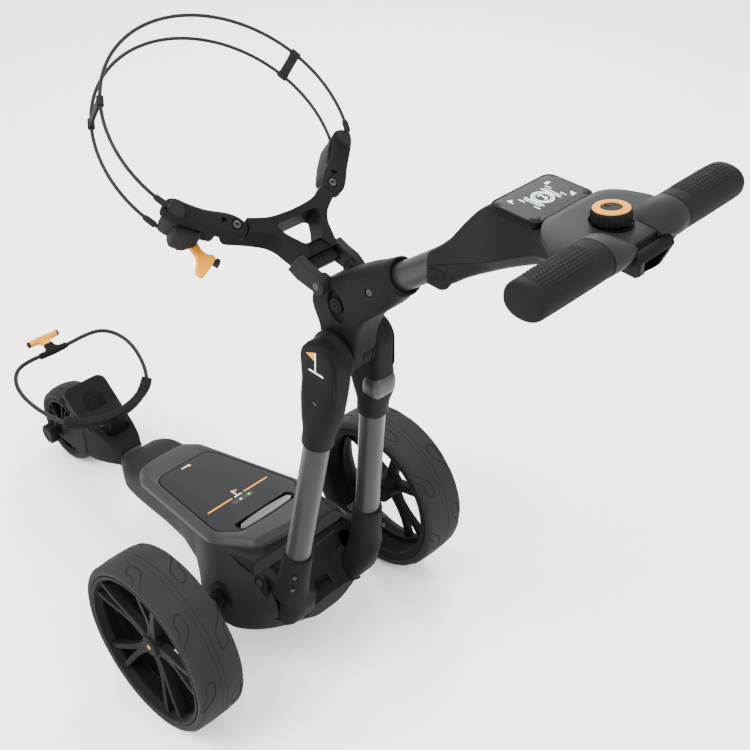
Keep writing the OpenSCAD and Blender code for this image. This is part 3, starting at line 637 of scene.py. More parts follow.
# y, then half width and height at the top, at the side, at the lower edge and at the bottom
HULL = [
    (408, 36, 138, 42, 128, 40, 100, 30, 84),
    (400, 43, 146, 50, 132, 48, 98, 34, 80),
    (374, 52, 155, 61, 140, 60, 96, 40, 78),
    (338, 54, 160, 65, 146, 64, 98, 44, 76),
    (302, 66, 166, 70, 150, 66, 102, 46, 75),
    (250, 74, 176, 74, 158, 67, 106, 48, 74),
    (190, 82, 188, 79, 168, 72, 110, 54, 74),
    (120, 93, 202, 90, 182, 96, 120, 66, 75),
    (84, 99, 209, 103, 190, 118, 122, 72, 76),
    (50, 102, 215, 117, 184, 142, 118, 76, 78),
    (20, 99, 218, 126, 184, 149, 112, 78, 80),
    (-14, 84, 220, 130, 184, 150, 108, 74, 82),
    (-40, 98, 214, 126, 184, 146, 110, 66, 86),
    (-66, 100, 207, 117, 181, 127, 112, 60, 92),
    (-88, 101, 198, 108, 172, 98, 113, 50, 99),
    (-104, 98, 178, 104, 150, 62, 114, 34, 106),
    (-113, 60, 150, 70, 140, 30, 116, 16, 110),
]


LEG_PIVOT = (-66, 214)
BATTERY = [(0, 277), (46, 276), (58, 268), (63, 252), (87, 74), (86, 60), (62, 30), (0, 26)]
TRIM = [(0, 345), (50, 342), (73, 309), (104, 66), (100, 40), (70, -14), (0, -24)]


def chassis():
    """The body shell with its battery bay, and the two lugs of the leg pivot."""
    rings = []
    for y in np.linspace(408, -113, 131):
        wt, zt, ws, zs, wm, zm, wb, zb = (eased(HULL, k, y) for k in range(1, 9))
        half = [(wt, zt), (ws, zs), (wm, zm), (wb, zb)]
        corners = half + [(-x, z) for x, z in reversed(half)]
        ring = rounded(corners, [7, 16, 16, 14, 14, 16, 16, 7], 4)
        rings.append([(x, float(y), z) for x, z in ring])
    shell = loft("body_shell", rings, None, **PLAIN)
    deck = on_deck()
    bay = slab("bay", [(x * 1.012, y + (1 if y > 150 else -1)) for x, y in both(BATTERY)], -61, 60, deck,
        **PLAIN)
    notch = slab("notch", [(-99.0, -160), (99.0, -160), (99.0, -49), (-99.0, -49)], 140, 300, None,
        **PLAIN)
    cut_by(shell, [bay, notch])
    finish_mesh(shell, "shell_light", "chassis", bevel=1.4, segments=2, angle=40.0)
    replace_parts(shell, "chassis_shell")
    for side in (-1, 1):
        ear = side_slab(f"pivot_lug_{side + 1}", [(LEG_PIVOT[0] + 15, 150),
            (LEG_PIVOT[0] + 15, LEG_PIVOT[1] + 2), (LEG_PIVOT[0] + 9, LEG_PIVOT[1] + 14),
            (LEG_PIVOT[0] - 9, LEG_PIVOT[1] + 14), (LEG_PIVOT[0] - 15, LEG_PIVOT[1] + 2),
            (LEG_PIVOT[0] - 17, 150)], 101.6 if side > 0 else -106.5, 106.5 if side > 0 else -101.6,
            radius=5.0, material="shell", body="chassis", bevel=1.2)


def ring_of(outline, radius, grow, z, count=240):
    """A softened outline, moved outwards by grow, as a ring at height z."""
    flat = resampled(rounded(both(outline), radius, 6), count)
    pts = [Vector(p) for p in flat]
    out = []
    for i, p in enumerate(pts):
        d = (pts[(i + 1) % count] - pts[i - 1]).normalized()
        out.append((p.x + d.y * -grow, p.y + d.x * grow, z) if grow else (p.x, p.y, z))
    return out


def trim_band():
    """The grey band between the shell and the battery."""
    deck = on_deck()
    outer = [(-6.0, -20.0), (-0.8, -19.4), (0.0, -18.4), (0.0, -9.6), (-0.7, -8.4), (-8.2, -1.2),
        (-9.4, -0.5), (-11.0, -0.1)]
    rings = [ring_of(TRIM, 9.0, g, z, 320) for g, z in outer]
    rings += [ring_of(BATTERY, 9.0, g, z, 320) for g, z in ((3.2, 0.2), (2.2, -0.2), (1.6, -1.4),
        (1.6, -20.0))]
    points, faces = skin(rings, wrap=True)
    trim = mesh_object("trim_band", points, faces, deck, material="trim", body="chassis", angle=38.0)
    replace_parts(trim, "trim_frame")


def battery_top():
    """A shallow tray edge, a raised field and a finger recess, whose floor is darkened with painted shade."""
    deck = on_deck()
    levels = [(0.4, -22.0), (0.4, -2.0), (0.0, -0.8), (-1.0, -0.1), (-2.4, 0.0)]
    rings = [ring_of(BATTERY, 9.0, g, z) for g, z in levels]
    rings.append([(0.6 * x, 150.0 + 0.6 * (y - 150.0), 0.4) for x, y, z in rings[-1]])
    points, faces = skin(rings)
    top = mesh_object("battery_top", points, faces, deck, **PLAIN)
    recess = slab("recess", [(-52, 8), (52, 8), (62, 40), (58, 53), (-58, 53), (-62, 40)], -16, 20, deck,
        radius=5.0, **PLAIN)
    cut_by(top, [recess])
    finish_mesh(top, "panel", "battery", angle=38.0)
    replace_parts(top, "battery_cover")
    # a near-black slab on the recess floor under the grab bar: painted shade for the recess
    pit = slab("battery_recess_shade_floor", [(-53, 22), (53, 22), (63, 40), (59, 54), (-59, 54), (-63, 40)], -17,
        -12, deck, radius=5.0, material="black_and_painted_shade", body="battery")


def battery_grab():
    """The folding grab handle: a bowed satin bar between two pivots."""
    deck = on_deck()
    rings = []
    for x in np.linspace(-56, 56, 61):
        t = abs(x) / 56.0
        end = float(smoothstep(0.90, 1.0, t))
        front = 47.5 - 4.0 * t ** 2 - 5.0 * end
        back = 29.5 + 3.5 * t ** 2 + 4.0 * end
        mid = (front + back) / 2
        half = (front - back) / 2
        crown = 2.4 - 0.8 * t ** 2 - 1.2 * end
        ring = rounded([(-half, -5.0), (half, -5.0), (half, crown - 0.6), (-half, crown - 2.6)],
            [1.5, 1.5, 2.2, 2.2], 4)
        rings.append([(float(x), mid + y, z) for y, z in ring])
    grab = loft("battery_grab_bar", rings, deck, material="grab", body="battery_grab", angle=40.0)
    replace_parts(grab, "battery_handle")


def battery_ledge():
    """The ledge behind the battery, with its two latch slots drawn as near-black patches of painted shade."""
    deck = on_deck()
    ledge = slab("battery_rear_ledge", [(-46, 8), (46, 8), (54, 24), (-54, 24)], -11, -6.5, deck, radius=4.0,
        material="shell", body="chassis", bevel=1.0)
    # the slots are thin near-black patches on the ledge: painted shade for their openings
    for i in (-1, 1):
        cup = slab(f"latch_slot_shade_{i + 1}", [(i * 34 - 5, 15), (i * 34 + 5, 15), (i * 34 + 5, 20),
            (i * 34 - 5, 20)], -7, -6.2, deck, radius=1.5, material="black_and_painted_shade", body="chassis")


def battery_marks():
    """A printed line, lamps and a plain flag badge on the battery's top."""
    deck = on_deck()

    def ink(name, outline, material, height=0.75, radius=0.0):
        ob = slab(name, outline, -0.3, height, deck, radius=radius, material=material, body="battery",
            smooth=False)

    ink("battery_line_a", [(-66, 112), (-13, 112), (-13, 115.4), (-66, 115.4)], "yellow")
    ink("battery_line_b", [(13, 112), (66, 112), (66, 115.4), (13, 115.4)], "yellow")
    ink("battery_flag_pole", [(-1.2, 116), (0.4, 116), (0.4, 133), (-1.2, 133)], "mark_white")
    ink("battery_flag_cloth", [(0.8, 133), (0.8, 124.5), (10.5, 128.6)], "yellow")
    ink("battery_flag_green", [(-9, 112.2), (9, 112.2), (6, 114.6), (-6, 114.6)], "mark_white")
    ink("battery_lamp_frame", [(-22, 94), (22, 94), (22, 107), (-22, 107)], "lamp_bed", 0.62, 5.0)
    ink("battery_lamp_a", [(11.6, 98), (16.4, 98), (16.4, 102.6), (11.6, 102.6)], "lamp_green", 0.8, 2.2)
    ink("battery_lamp_b", [(-6, 98.4), (-2, 98.4), (-2, 102.4), (-6, 102.4)], "mark_white", 0.8, 1.8)
    ink("battery_tab_mark", [(-9, 262), (9, 262), (9, 264.6), (-9, 264.6)], "mark_white", 0.75)
    ink("battery_tab_mark_b", [(3, 258), (9, 258), (9, 260.4), (3, 260.4)], "yellow", 0.75)


def apron():
    """The sloping wall behind the trim."""
    rings = []
    for x in np.linspace(-101, 101, 61):
        t = abs(x) / 101.0
        ring = []
        for y, z in rounded([(-14 + 58 * t ** 3, 222 - 9 * t ** 3), (-30, 217), (-50, 207), (-63, 200),
                (-64, 196), (-58, 150), (-20, 150), (10, 190)], 5.0, 4):
            ring.append((float(x), y, z))
        rings.append(ring)
    ob = loft("rear_apron", rings, None, material="shell", body="chassis", angle=42.0)


chassis()
trim_band()
battery_top()
battery_grab()
battery_ledge()
battery_marks()
apron()

# ---------------------------------------------------------------- console, screen, trim, knob, grips and hook

BAR = (-545.0, 1001.5)
# y, half width, top z, bottom z, corner radius at the top, corner radius at the bottom
CONSOLE = [
    (-300, 22.5, 884, 845, 14, 14),
    (-304, 24.2, 889, 844, 14, 15),
    (-330, 27, 916, 850, 12, 16),
    (-356, 33, 951, 873, 8, 18),
    (-378, 40, 977, 889, 6, 20),
    (-398, 47, 994, 902, 5, 20),
    (-412, 50, 994, 912, 5, 20),
    (-440, 51, 993, 929, 5, 20),
    (-466, 53, 994, 944, 6, 18),
    (-482, 60, 1000, 953, 9, 16),
    (-500, 70, 1003, 962, 12, 14),
    (-516, 72, 1003, 970, 13, 12),
    (-532, 66, 1003, 977, 12, 10),
    (-548, 60, 1001, 981, 10, 8),
    (-560, 56, 997, 984, 6, 5),
    (-566, 52, 994, 987, 3, 3),
]


def seam_height(y):
    """Height of the seam between the upper and lower halves of the console."""
    return float(np.interp(-y, [300, 330, 367, 401, 433, 466, 500, 540, 566],
        [868, 884, 905, 926, 946, 966, 978, 986, 991]))


def console_half(upper):
    """Sections of the console's upper or lower half."""
    rings = []
    for y in np.linspace(-566, -300, 84):
        w, top, low, rt, rl = (eased(CONSOLE, k, y, 5.0) for k in range(1, 6))
        mid = min(seam_height(y), top - 4)
        waist = w * 0.985
        tuck = w * float(np.interp(-y, [300, 330, 400, 566], [0.98, 0.86, 0.52, 0.70]))
        if upper:
            ring = rounded([(-waist, mid + 0.25), (waist, mid + 0.25), (w * 0.965, top), (-w * 0.965, top)],
                [0.4, 0.4, rt, rt], 6)
        else:
            ring = rounded([(-tuck, low), (tuck, low), (waist - 0.8, mid - 0.35), (-waist + 0.8, mid - 0.35)],
                [rl, rl, 0.4, 0.4], 6)
        rings.append([(x, float(y), z) for x, z in ring])
    return rings


def bar_ring(x, ry, rz, power=2.25, count=72):
    """A squared oval round the handle bar."""
    out = []
    for k in range(count):
        a = 2 * math.pi * k / count
        c, s = math.cos(a), math.sin(a)
        out.append((x, BAR[0] + ry * math.copysign(abs(c) ** (2 / power), c),
            BAR[1] + rz * math.copysign(abs(s) ** (2 / power), s)))
    return out


def console():
    """The two halves of the console."""
    lower = loft("console_lower_half", console_half(False), None, **PLAIN)
    upper = loft("console_upper_half", console_half(True), None, **PLAIN)
    core = side_slab("core", [(BAR[0] + 23.0 * math.cos(a), BAR[1] + 18.6 * math.sin(a)) for a in
        [2 * math.pi * k / 48 for k in range(48)]], -90, 90, **PLAIN)
    cut_by(lower, [core])
    seat = slab("screen_seat", [(-52.4, -465.6), (52.4, -465.6), (52.4, -400.5), (-52.4, -400.5)], 991.5,
        1010, None, radius=11.0, **PLAIN)
    knob_well = revolve("well", [(0, -1), (22.8, -1), (23.2, 30), (0, 30)], 64, knob_frame(), **PLAIN)
    cut_by(upper, [seat, knob_well])
    for ob, node in ((lower, "console_lower"), (upper, "console_upper")):
        finish_mesh(ob, "shell", "handle", bevel=1.0, angle=45.0)
        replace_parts(ob, node)


def console_arms():
    """The arms that run out into the grips."""
    for side in (-1, 1):
        rings = [bar_ring(side * x, ry, rz) for x, ry, rz in ((21, 19, 4.5), (28, 22, 8.0), (37, 25, 12.5),
            (47, 26, 16.4), (56, 25.2, 18.6), (65, 24.2, 19.3), (65.6, 23.4, 18.6))]
        arm = loft(f"console_arm_{side + 1}", rings, None, material="trim_top", body="handle", angle=40.0)


def collar_patches():
    """The collar patch on each side of the tube, with its three tick marks."""
    for side in (-1, 1):
        x = side * 25.6
        patch = side_slab(f"collar_patch_{side + 1}", [(-303, 846), (-303.5, 862), (-306, 868), (-338, 874),
            (-344, 868), (-334, 851), (-326, 846)], min(x, x - side * 4), max(x, x - side * 4), radius=3.0,
            material="shell", body="handle", bevel=1.2)
        for i in range(3):
            y, z = -310 - 9.0 * i, 856 + 4.2 * i
            tick = side_slab(f"collar_tick_{side + 1}_{i}",
                [(y - 2.4, z - 2.2), (y + 1.6, z - 3.2), (y + 2.4, z + 2.6), (y - 1.4, z + 3.2)],
                min(x + side * 0.35, x - side * 2), max(x + side * 0.35, x - side * 2), radius=0.8,
                material="dark_shell", body="handle")


def knob_frame():
    """The speed knob's frame, on the console's top."""
    return placed((0, -518, 1003), turn_x=-8)


TRIM_TOP = [(0, -468.5), (44, -469), (56, -473), (71, -484), (88, -508), (86, -530), (80, -548), (70, -556),
    (52, -558), (28, -558), (0, -558)]


def top_trim():
    """The dark grey T panel: a thin shell that falls away to each arm."""
    corners = [6, 2, 10, 10, 4, 6, 8, 6, 12, 6, 6] + [6, 12, 6, 8, 6, 4, 10, 10, 2]
    flat = resampled(rounded(both(TRIM_TOP), corners, 4), 220)

    def height(x, y):
        fall = 0.0025 * max(0.0, abs(x) - 46.0) ** 2
        back = 0.0035 * max(0.0, -y - 540.0) ** 2
        return 1005.4 - fall - back

    centre = Vector((0, -505))
    levels = [(1.0, -5.0), (1.0, -0.9), (0.995, -0.25), (0.985, 0.0), (0.8, 0.0), (0.6, 0.0), (0.42, 0.0)]
    rings = []
    for shrink, drop in levels:
        ring = []
        for p in flat:
            q = centre + (Vector(p) - centre) * shrink
            ring.append((q.x, q.y, height(q.x, q.y) + drop))
        rings.append(ring)
    trim = loft("console_trim", rings, None, material="trim_top", body=None, smooth=False)
    well = revolve("well", [(0, -3), (22.8, -3), (23.4, 30), (0, 30)], 64, knob_frame(), **PLAIN)
    cut_by(trim, [well])
    finish_mesh(trim, "trim_top", "handle", angle=38.0)
    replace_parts(trim, "top_trim")
    cup = revolve("knob_well", [(0, -0.6), (21.8, -0.6), (23.0, 0.4), (23.4, 2.0), (23.4, 3.2), (22.6, 3.0),
        (22.4, 1.0), (21.4, 0.2), (0, 0.2)], 72, knob_frame(), closed=False, material="dark_shell",
        body="handle", angle=40.0)


def speed_knob():
    """The ribbed knob with its ring, its cap and its pointer."""
    rings = []
    count = 192
    for h, grow, rib in ((2.6, -1.6, 0), (3.2, -0.4, 0.6), (4.2, 0.4, 1), (8, 0.9, 1), (12, 0.9, 1),
            (15.0, 0.4, 0.9), (17.0, -0.6, 0.4), (18.0, -1.8, 0), (17.9, -3.0, 0), (17.4, -10.0, 0)):
        ring = []
        for k in range(count):
            a = 2 * math.pi * k / count
            notch = max(0.0, math.cos(24 * a)) ** 3
            r = 20.4 + grow - 0.9 * rib * notch
            ring.append((r * math.cos(a), r * math.sin(a), h))
        rings.append(ring)
    body = loft("speed_knob_skirt", rings, knob_frame(), material="shell", body="speed_knob", angle=40.0)
    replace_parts(body, "knob_body")
    ring = revolve("speed_knob_ring", [(11.2, 17.6), (11.4, 18.9), (12.2, 19.4), (14.6, 19.1), (15.2, 18.7),
        (15.8, 19.1), (17.4, 19.0), (18.6, 18.6), (19.3, 17.8), (19.3, 17.0)], 120, knob_frame(),
        material="yellow", body="speed_knob", angle=30.0)
    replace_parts(ring, "knob_ring")
    cap = revolve("speed_knob_cap", [(0, 18.4), (8.0, 18.3), (10.2, 18.5), (10.9, 18.0), (10.9, 16.8)], 72,
        knob_frame(), material="shell", body="speed_knob", angle=30.0)
    pointer = slab("speed_knob_pointer", [(-1.0, 2.0), (1.0, 2.0), (1.0, 8.4), (-1.0, 8.4)], 18.0, 18.9,
        knob_frame(), radius=0.9, material="dark_shell", body="speed_knob")


def grip(side):
    """A rubber grip: an oval tube with a textured pad on top and a smooth strip below a seam."""
    rings = []
    around = 168
    xs = [66.3, 67.0, 68.4] + list(np.linspace(70.0, 168.0, 190)) + [170.5, 173.0, 175.0, 176.4, 177.4, 178.0]
    angles = np.arange(around) * 360.0 / around
    grid_x, grid_a = np.meshgrid(np.array(xs), angles, indexing="ij")
    inset = inside_distance(grid_x, grid_a, PAD)
    lifts = 0.8 * np.clip(inset / 1.4, 0.0, 1.0) * grip_pattern(grid_x, grid_a * 0.37)
    for i, x in enumerate(xs):
        end = max(0.0, (x - 170.5) / 7.5)
        start = max(0.0, (68.4 - x) / 2.1)
        shrink = 1.0 - 0.14 * (1 - math.sqrt(max(0.0, 1 - end ** 2))) - 0.035 * start
        swell = 1.0 + 0.012 * math.sin(math.pi * (x - 66) / 112)
        ring = []
        for k in range(around):
            a = 2 * math.pi * k / around
            c, s = math.cos(a), math.sin(a)
            ry = 23.7 * shrink * swell
            rz = 19.2 * shrink * swell
            n = 2 / 2.25
            y, z = ry * math.copysign(abs(c) ** n, c), rz * math.copysign(abs(s) ** n, s)
            lift = float(lifts[i, k])
            seam = min(abs((math.degrees(a) - 196) % 360), abs((math.degrees(a) - 318) % 360))
            if seam < 1.3 and 72 < x < 172:
                lift -= 0.7
            length = math.hypot(y, z)
            ring.append((side * x, BAR[0] + y * (1 + lift / length), BAR[1] + z * (1 + lift / length)))
        rings.append(ring)
    ob = loft(f"grip_{'left' if side < 0 else 'right'}", rings, None, material="rubber", body="handle",
        angle=60.0)
    return ob


PAD = rounded([(84, 48), (150, 40), (164, 52), (167, 92), (164, 128), (150, 138), (96, 132), (84, 118)], 9.0,
    4)


def grip_pattern(x, v):
    """Small raised wedges in a brick bond."""
    row = np.floor(v / 3.4)
    w = v - row * 3.4
    slope = np.mod(x + 2.6 * np.mod(row, 2.0) - 0.5 * w, 5.2)
    across = np.minimum(w, 3.4 - w)
    along = np.minimum(slope, 5.2 - slope)
    return np.clip((across - 0.25) / 0.5, 0.0, 1.0) * np.clip((along - 0.35) / 0.6, 0.0, 1.0)


SCREEN_AT = (0, -433.0, 1000.0)


def screen():
    """The screen's case and its window."""
    w, h = 52.0, 32.2
    m = placed(SCREEN_AT)
    outline = [(-w, -h), (w, -h), (w, h), (-w, h)]

    def level(inset, z, radius):
        return [(x, y, z) for x, y in resampled(rounded([(math.copysign(abs(a) - inset, a),
            math.copysign(abs(b) - inset, b)) for a, b in outline], radius, 7), 200)]

    rings = [level(1.6, -8.0, 10.5), level(0.0, -5.0, 12.0), level(0.0, -1.4, 12.0), level(0.5, -0.4, 11.6),
        level(1.4, 0.0, 11.0), level(2.2, -0.1, 10.6), level(2.4, -0.8, 10.4), level(4.0, -0.8, 9.0)]
    bezel = loft("screen_case", rings, m, material="dark_shell", body="handle", angle=35.0)
    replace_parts(bezel, "screen_bezel")
    rings = [level(2.6, -1.2, 10.2), level(2.6, -0.45, 10.2), level(3.0, -0.15, 10.0), level(10.0, -0.1, 6.0)]
    glass = loft("screen_window", rings, m, material="screen_face", body="handle", angle=35.0)
    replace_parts(glass, "screen_glass")


def screen_marks():
    """The printed dial, lanes, flag, charge and signal marks."""
    m = placed(SCREEN_AT)

    def ink(name, outline, material, radius=0.0):
        ob = slab(name, outline, -0.2, 0.06, m, radius=radius, material=material, body="handle", smooth=False)

    def arc(name, r0, r1, a0, a1, material, middle=(0.0, 0.0), steps=40):
        outer = arc_points(r1, a0, a1 - a0, steps, middle)
        inner = arc_points(r0, a1, a0 - a1, steps, middle)
        ink(name, outer + inner, material)

    arc("dial_ring", 10.4, 12.6, 2, 178, "ui_blue")
    arc("dial_ring_low", 10.4, 12.6, 182, 358, "ui_blue")
    arc("dial_inner", 8.4, 9.0, 1, 179, "ui_white")
    arc("dial_inner_low", 8.4, 9.0, 181, 359, "ui_white")
    # the digit 3: the reader stands behind the handle, at -Y
    for i, (cy, a0, a1) in enumerate(((2.55, -88, 150), (-2.55, -150, 88))):
        arc(f"digit_{i}", 1.9, 3.3, a0, a1, "ui_white", (0.0, cy), 24)
    for s in (-1, 1):
        x = s * 17.0
        ink(f"lane_{s + 1}_0", [(x - 3.8 * s, -13), (x - 2.6 * s, -13), (x - 2.6 * s, 13), (x - 3.8 * s, 13)],
            "ui_white")
        ink(f"lane_{s + 1}_1", [(x, -11), (x + 1.4 * s, -11), (x + 1.4 * s, 11), (x, 11)], "ui_blue")
        ink(f"lane_{s + 1}_2", [(x + 5 * s, -14), (x + 6.1 * s, -14), (x + 6.1 * s, -6), (x + 5 * s, -6)],
            "ui_white")
        ink(f"lane_{s + 1}_3", [(x + 5 * s, 6), (x + 6.1 * s, 6), (x + 6.1 * s, 14), (x + 5 * s, 14)],
            "ui_white")
    ink("flag_pole", [(-34.4, 12), (-33.4, 12), (-33.4, 20), (-34.4, 20)], "ui_white")
    ink("flag_cloth", [(-33.0, 20), (-33.0, 15.4), (-27.5, 17.7)], "ui_amber")
    ink("charge_box", [(26, 14.6), (33, 14.6), (33, 18.6), (26, 18.6)], "ui_green", radius=0.8)
    ink("charge_tip", [(33.4, 15.6), (34.4, 15.6), (34.4, 17.6), (33.4, 17.6)], "ui_green")
    ink("signal_a", [(27, -19), (28.4, -19), (28.4, -16), (27, -16)], "ui_white")
    ink("signal_b", [(29.4, -19), (30.8, -19), (30.8, -14), (29.4, -14)], "ui_white")
    ink("signal_c", [(31.8, -19), (33.2, -19), (33.2, -12), (31.8, -12)], "ui_amber")


def hook():
    """The accessory hook under the bar: a loop with a triangular opening and a lip at its foot."""
    wall = [(-560, 996), (-565, 1000), (-571, 999), (-575.5, 994), (-570.5, 972), (-563, 965), (-549, 966),
        (-524, 969), (-522, 974), (-528, 976), (-545, 973.5), (-556, 974), (-562, 980), (-565.5, 990),
        (-560, 992), (-552, 993)]
    plate = side_slab("hook_block", wall, -34, 34, radius=1.6, **PLAIN)
    front_view = [(-31, 1020), (31, 1020), (31, 997), (25, 984), (12, 962), (8, 955), (-8, 955), (-12, 962),
        (-25, 984), (-31, 997)]

    def through(name, outline):
        return loft(name, [[(x, y, z) for x, z in outline] for y in (-600, -500)], None, **PLAIN)

    keep = plate.modifiers.new("keep", "BOOLEAN")
    keep.operation = "INTERSECT"
    keep.solver = "EXACT"
    frame_view = through("frame_view", front_view)
    keep.object = frame_view
    cut_by(plate, [through("window", [(-22.5, 992), (22.5, 992), (18.5, 984), (6.0, 966), (-6.0, 966),
        (-18.5, 984)])])
    bpy.data.objects.remove(frame_view)
    finish_mesh(plate, "dark_shell", "handle", bevel=1.2, angle=35.0)
    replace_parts(plate, "accessory_hook")


console()
console_arms()
collar_patches()
top_trim()
speed_knob()
grips_made = [grip(side) for side in (-1, 1)]
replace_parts(grips_made[0], "grips")
screen()
screen_marks()
hook()

# ---------------------------------------------------------------- legs: yoke, sockets, knuckles and covers

LEG_TOP = Vector((75.5, -123.0, 300.0))
LEG_AXIS = Vector((-19.9, -24.2, 225.6)).normalized()
HINGE = (-150.0, 663.0)
FOLD_PIN = (0, -130, 768)


def leg_frame(side, along):
    """A frame on a leg's axis, z up the leg, along mm above the top of its socket."""
    p = LEG_TOP + LEG_AXIS * along
    axis = Vector((LEG_AXIS.x * side, LEG_AXIS.y, LEG_AXIS.z))
    out = Vector((side, 0, 0))
    out = (out - axis * out.dot(axis)).normalized()
    turn = Matrix((out, axis.cross(out), axis)).transposed().to_4x4()
    return Matrix.Translation(P(p.x * side, p.y, p.z)) @ turn @ Matrix.Scale(0.001, 4)


def round_ring(m, r, count=64, flat=0.0):
    """A circle in a frame, as axle-frame millimetres; flat squares it off a little."""
    out = []
    for k in range(count):
        a = 2 * math.pi * k / count
        s = r * (1 + flat * math.sin(2 * a) ** 2)
        out.append(to_mm(m @ Vector((s * math.cos(a), s * math.sin(a), 0))))
    return out


def to_mm(p):
    """A point of the row frame as a point of the axle frame, in millimetres."""
    return Vector((p.x * 1000, p.y * 1000 + Y_REF, p.z * 1000))


def section(x0, x1, y0, y1, z, radius, count=64):
    """A level rounded rectangle as a ring that starts at +X and turns towards +Y."""
    flat = resampled(rounded([(x1, y0), (x1, y1), (x0, y1), (x0, y0)], radius, 8), 256)
    cx, cy = (x0 + x1) / 2, (y0 + y1) / 2
    out = []
    for k in range(count):
        a = 2 * math.pi * k / count
        best = max(flat, key=lambda p: ((p[0] - cx) * math.cos(a) + (p[1] - cy) * math.sin(a)) /
            math.hypot(p[0] - cx, p[1] - cy))
        out.append(Vector((best[0], best[1], z)))
    return out


def socket(side):
    """A slim sleeve that swells into the rear deck."""
    rings = []
    for along, r in ((1.2, 19.6), (1.2, 21.6), (0.6, 22.8), (-0.8, 23.8), (-3.0, 24.2), (-30.0, 24.4),
            (-60.0, 25.6)):
        rings.append(round_ring(leg_frame(1, along), r))
    low = [(200, 47, 97, -143, -94, 22), (180, 46, 97, -139, -90, 20), (164, 45, 97, -133, -84, 16),
        (150, 45, 97, -125, -76, 12), (143, 47, 96, -117, -72, 8)]
    rings.append(round_ring(leg_frame(1, -84.0), 27.5))
    for z, x0, x1, y0, y1, radius in low:
        rings.append(section(x0, x1, y0, y1, z, radius))
    rings = [[(p.x * side, p.y, p.z) for p in ring] for ring in rings]
    ob = loft(f"leg_socket_{side + 1}", rings, None, material="shell", body="legs", angle=50.0)
    # the pivot ear and its round lug
    lug = revolve(f"pivot_knob_{side + 1}", [(0, 9.0), (5.0, 9.0), (5.6, 8.0), (10.5, 7.6), (12.4, 6.4),
        (13.0, 4.4), (13.0, -11.0)], 56, placed((side * 93.0, -66, 214)) @ spin(90 * side, "Y"),
        material="shell", body="legs", angle=35.0)
    arm = side_slab(f"pivot_arm_{side + 1}", [(-56, 222), (-53, 210), (-60, 202), (-80, 194), (-104, 186),
        (-116, 200), (-108, 226), (-90, 228), (-70, 229)], min(side * 84, side * 98),
        max(side * 84, side * 98), radius=7.0, material="shell", body="legs", bevel=3.0, segments=3)
    return ob


def yoke():
    """Both leg sockets, and the smooth wall and deck between them."""
    made = [socket(side) for side in (-1, 1)]
    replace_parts(made[0], "leg_yoke")
    # the smooth wall and deck between the sockets
    xs = np.linspace(-62, 62, 41)
    # section of the wall, from its rear foot up and over to the front
    profile = [(-116, 142.5), (-117, 146), (-108, 150), (-98, 158), (-88, 171), (-78, 187), (-70, 200),
        (-64, 206), (-58, 206), (-56, 199), (-58, 150), (-64, 142.5)]
    profile = rounded(profile, 6.0, 4)
    rings = []
    for x in xs:
        dip = 1 - smoothstep(0.0, 26.0, abs(x))
        edge = smoothstep(34.0, 62.0, abs(x))
        ring = []
        for y, z in profile:
            top = max(0.0, (z - 150.0) / 54.0)
            z2 = z - 3.0 * dip * top * (1 if y < -70 else 0.4) + 10.0 * edge * top * (1 if y < -66 else 0.3)
            y2 = y - 9.0 * edge * (1 if y < -80 else 0) + 2.0 * dip * (1 if y < -100 else 0)
            ring.append((float(x), float(y2), float(z2)))
        rings.append(ring)
    wall = loft("yoke_wall", rings, None, **PLAIN)
    pocket = slab("pocket", [(-18, -118), (18, -118), (15, -90), (-15, -90)], 151, 230, None, radius=6.0,
        **PLAIN)
    cut_by(wall, [pocket])
    finish_mesh(wall, "shell", "legs", bevel=2.0, segments=3, angle=38.0)


def knuckle(side):
    """A leg's upper end: a sleeve that swells into the hinge barrel."""
    def ring_at(z, x_in, x_out, y_front, y_back, radius):
        return [Vector((p.x, p.y, p.z)) for p in section(x_in, x_out, y_back, y_front, z, radius)]

    rings = []
    for along, r in ((226.4, 19.7), (226.4, 22.0), (227.4, 22.9), (229.0, 23.4), (250.0, 23.9)):
        rings.append(round_ring(leg_frame(1, along), r))
    levels = [(568, 27.0, 75.0, -124.5, -180.5, 22), (584, 25.6, 72.4, -121.6, -181.8, 20),
        (604, 24.2, 68.0, -119.0, -182.6, 16), (624, 23.0, 62.4, -117.6, -183.0, 12),
        (645, 22.2, 59.4, -117.2, -183.0, 9)]
    for z, x0, x1, yf, yb, radius in levels:
        rings.append(ring_at(z, x0, x1, yf, yb, radius))
    for t in np.linspace(0, 1, 15)[1:]:
        a = math.pi / 2 * t * 0.985
        z = 655 + 41.0 * math.sin(a)
        half = 33.0 * math.sqrt(max(0.0, 1 - ((z - 663.0) / 33.3) ** 2)) if z > 663 else 33.0
        rings.append(ring_at(z, 22.0, 58.0, HINGE[0] + half, HINGE[0] - half, min(7.0, half * 0.6)))
    rings = [[(p.x * side, p.y, p.z) for p in ring] for ring in rings]
    ob = loft(f"knuckle_{side + 1}", rings, None, material="shell", body="legs", angle=44.0)
    return ob


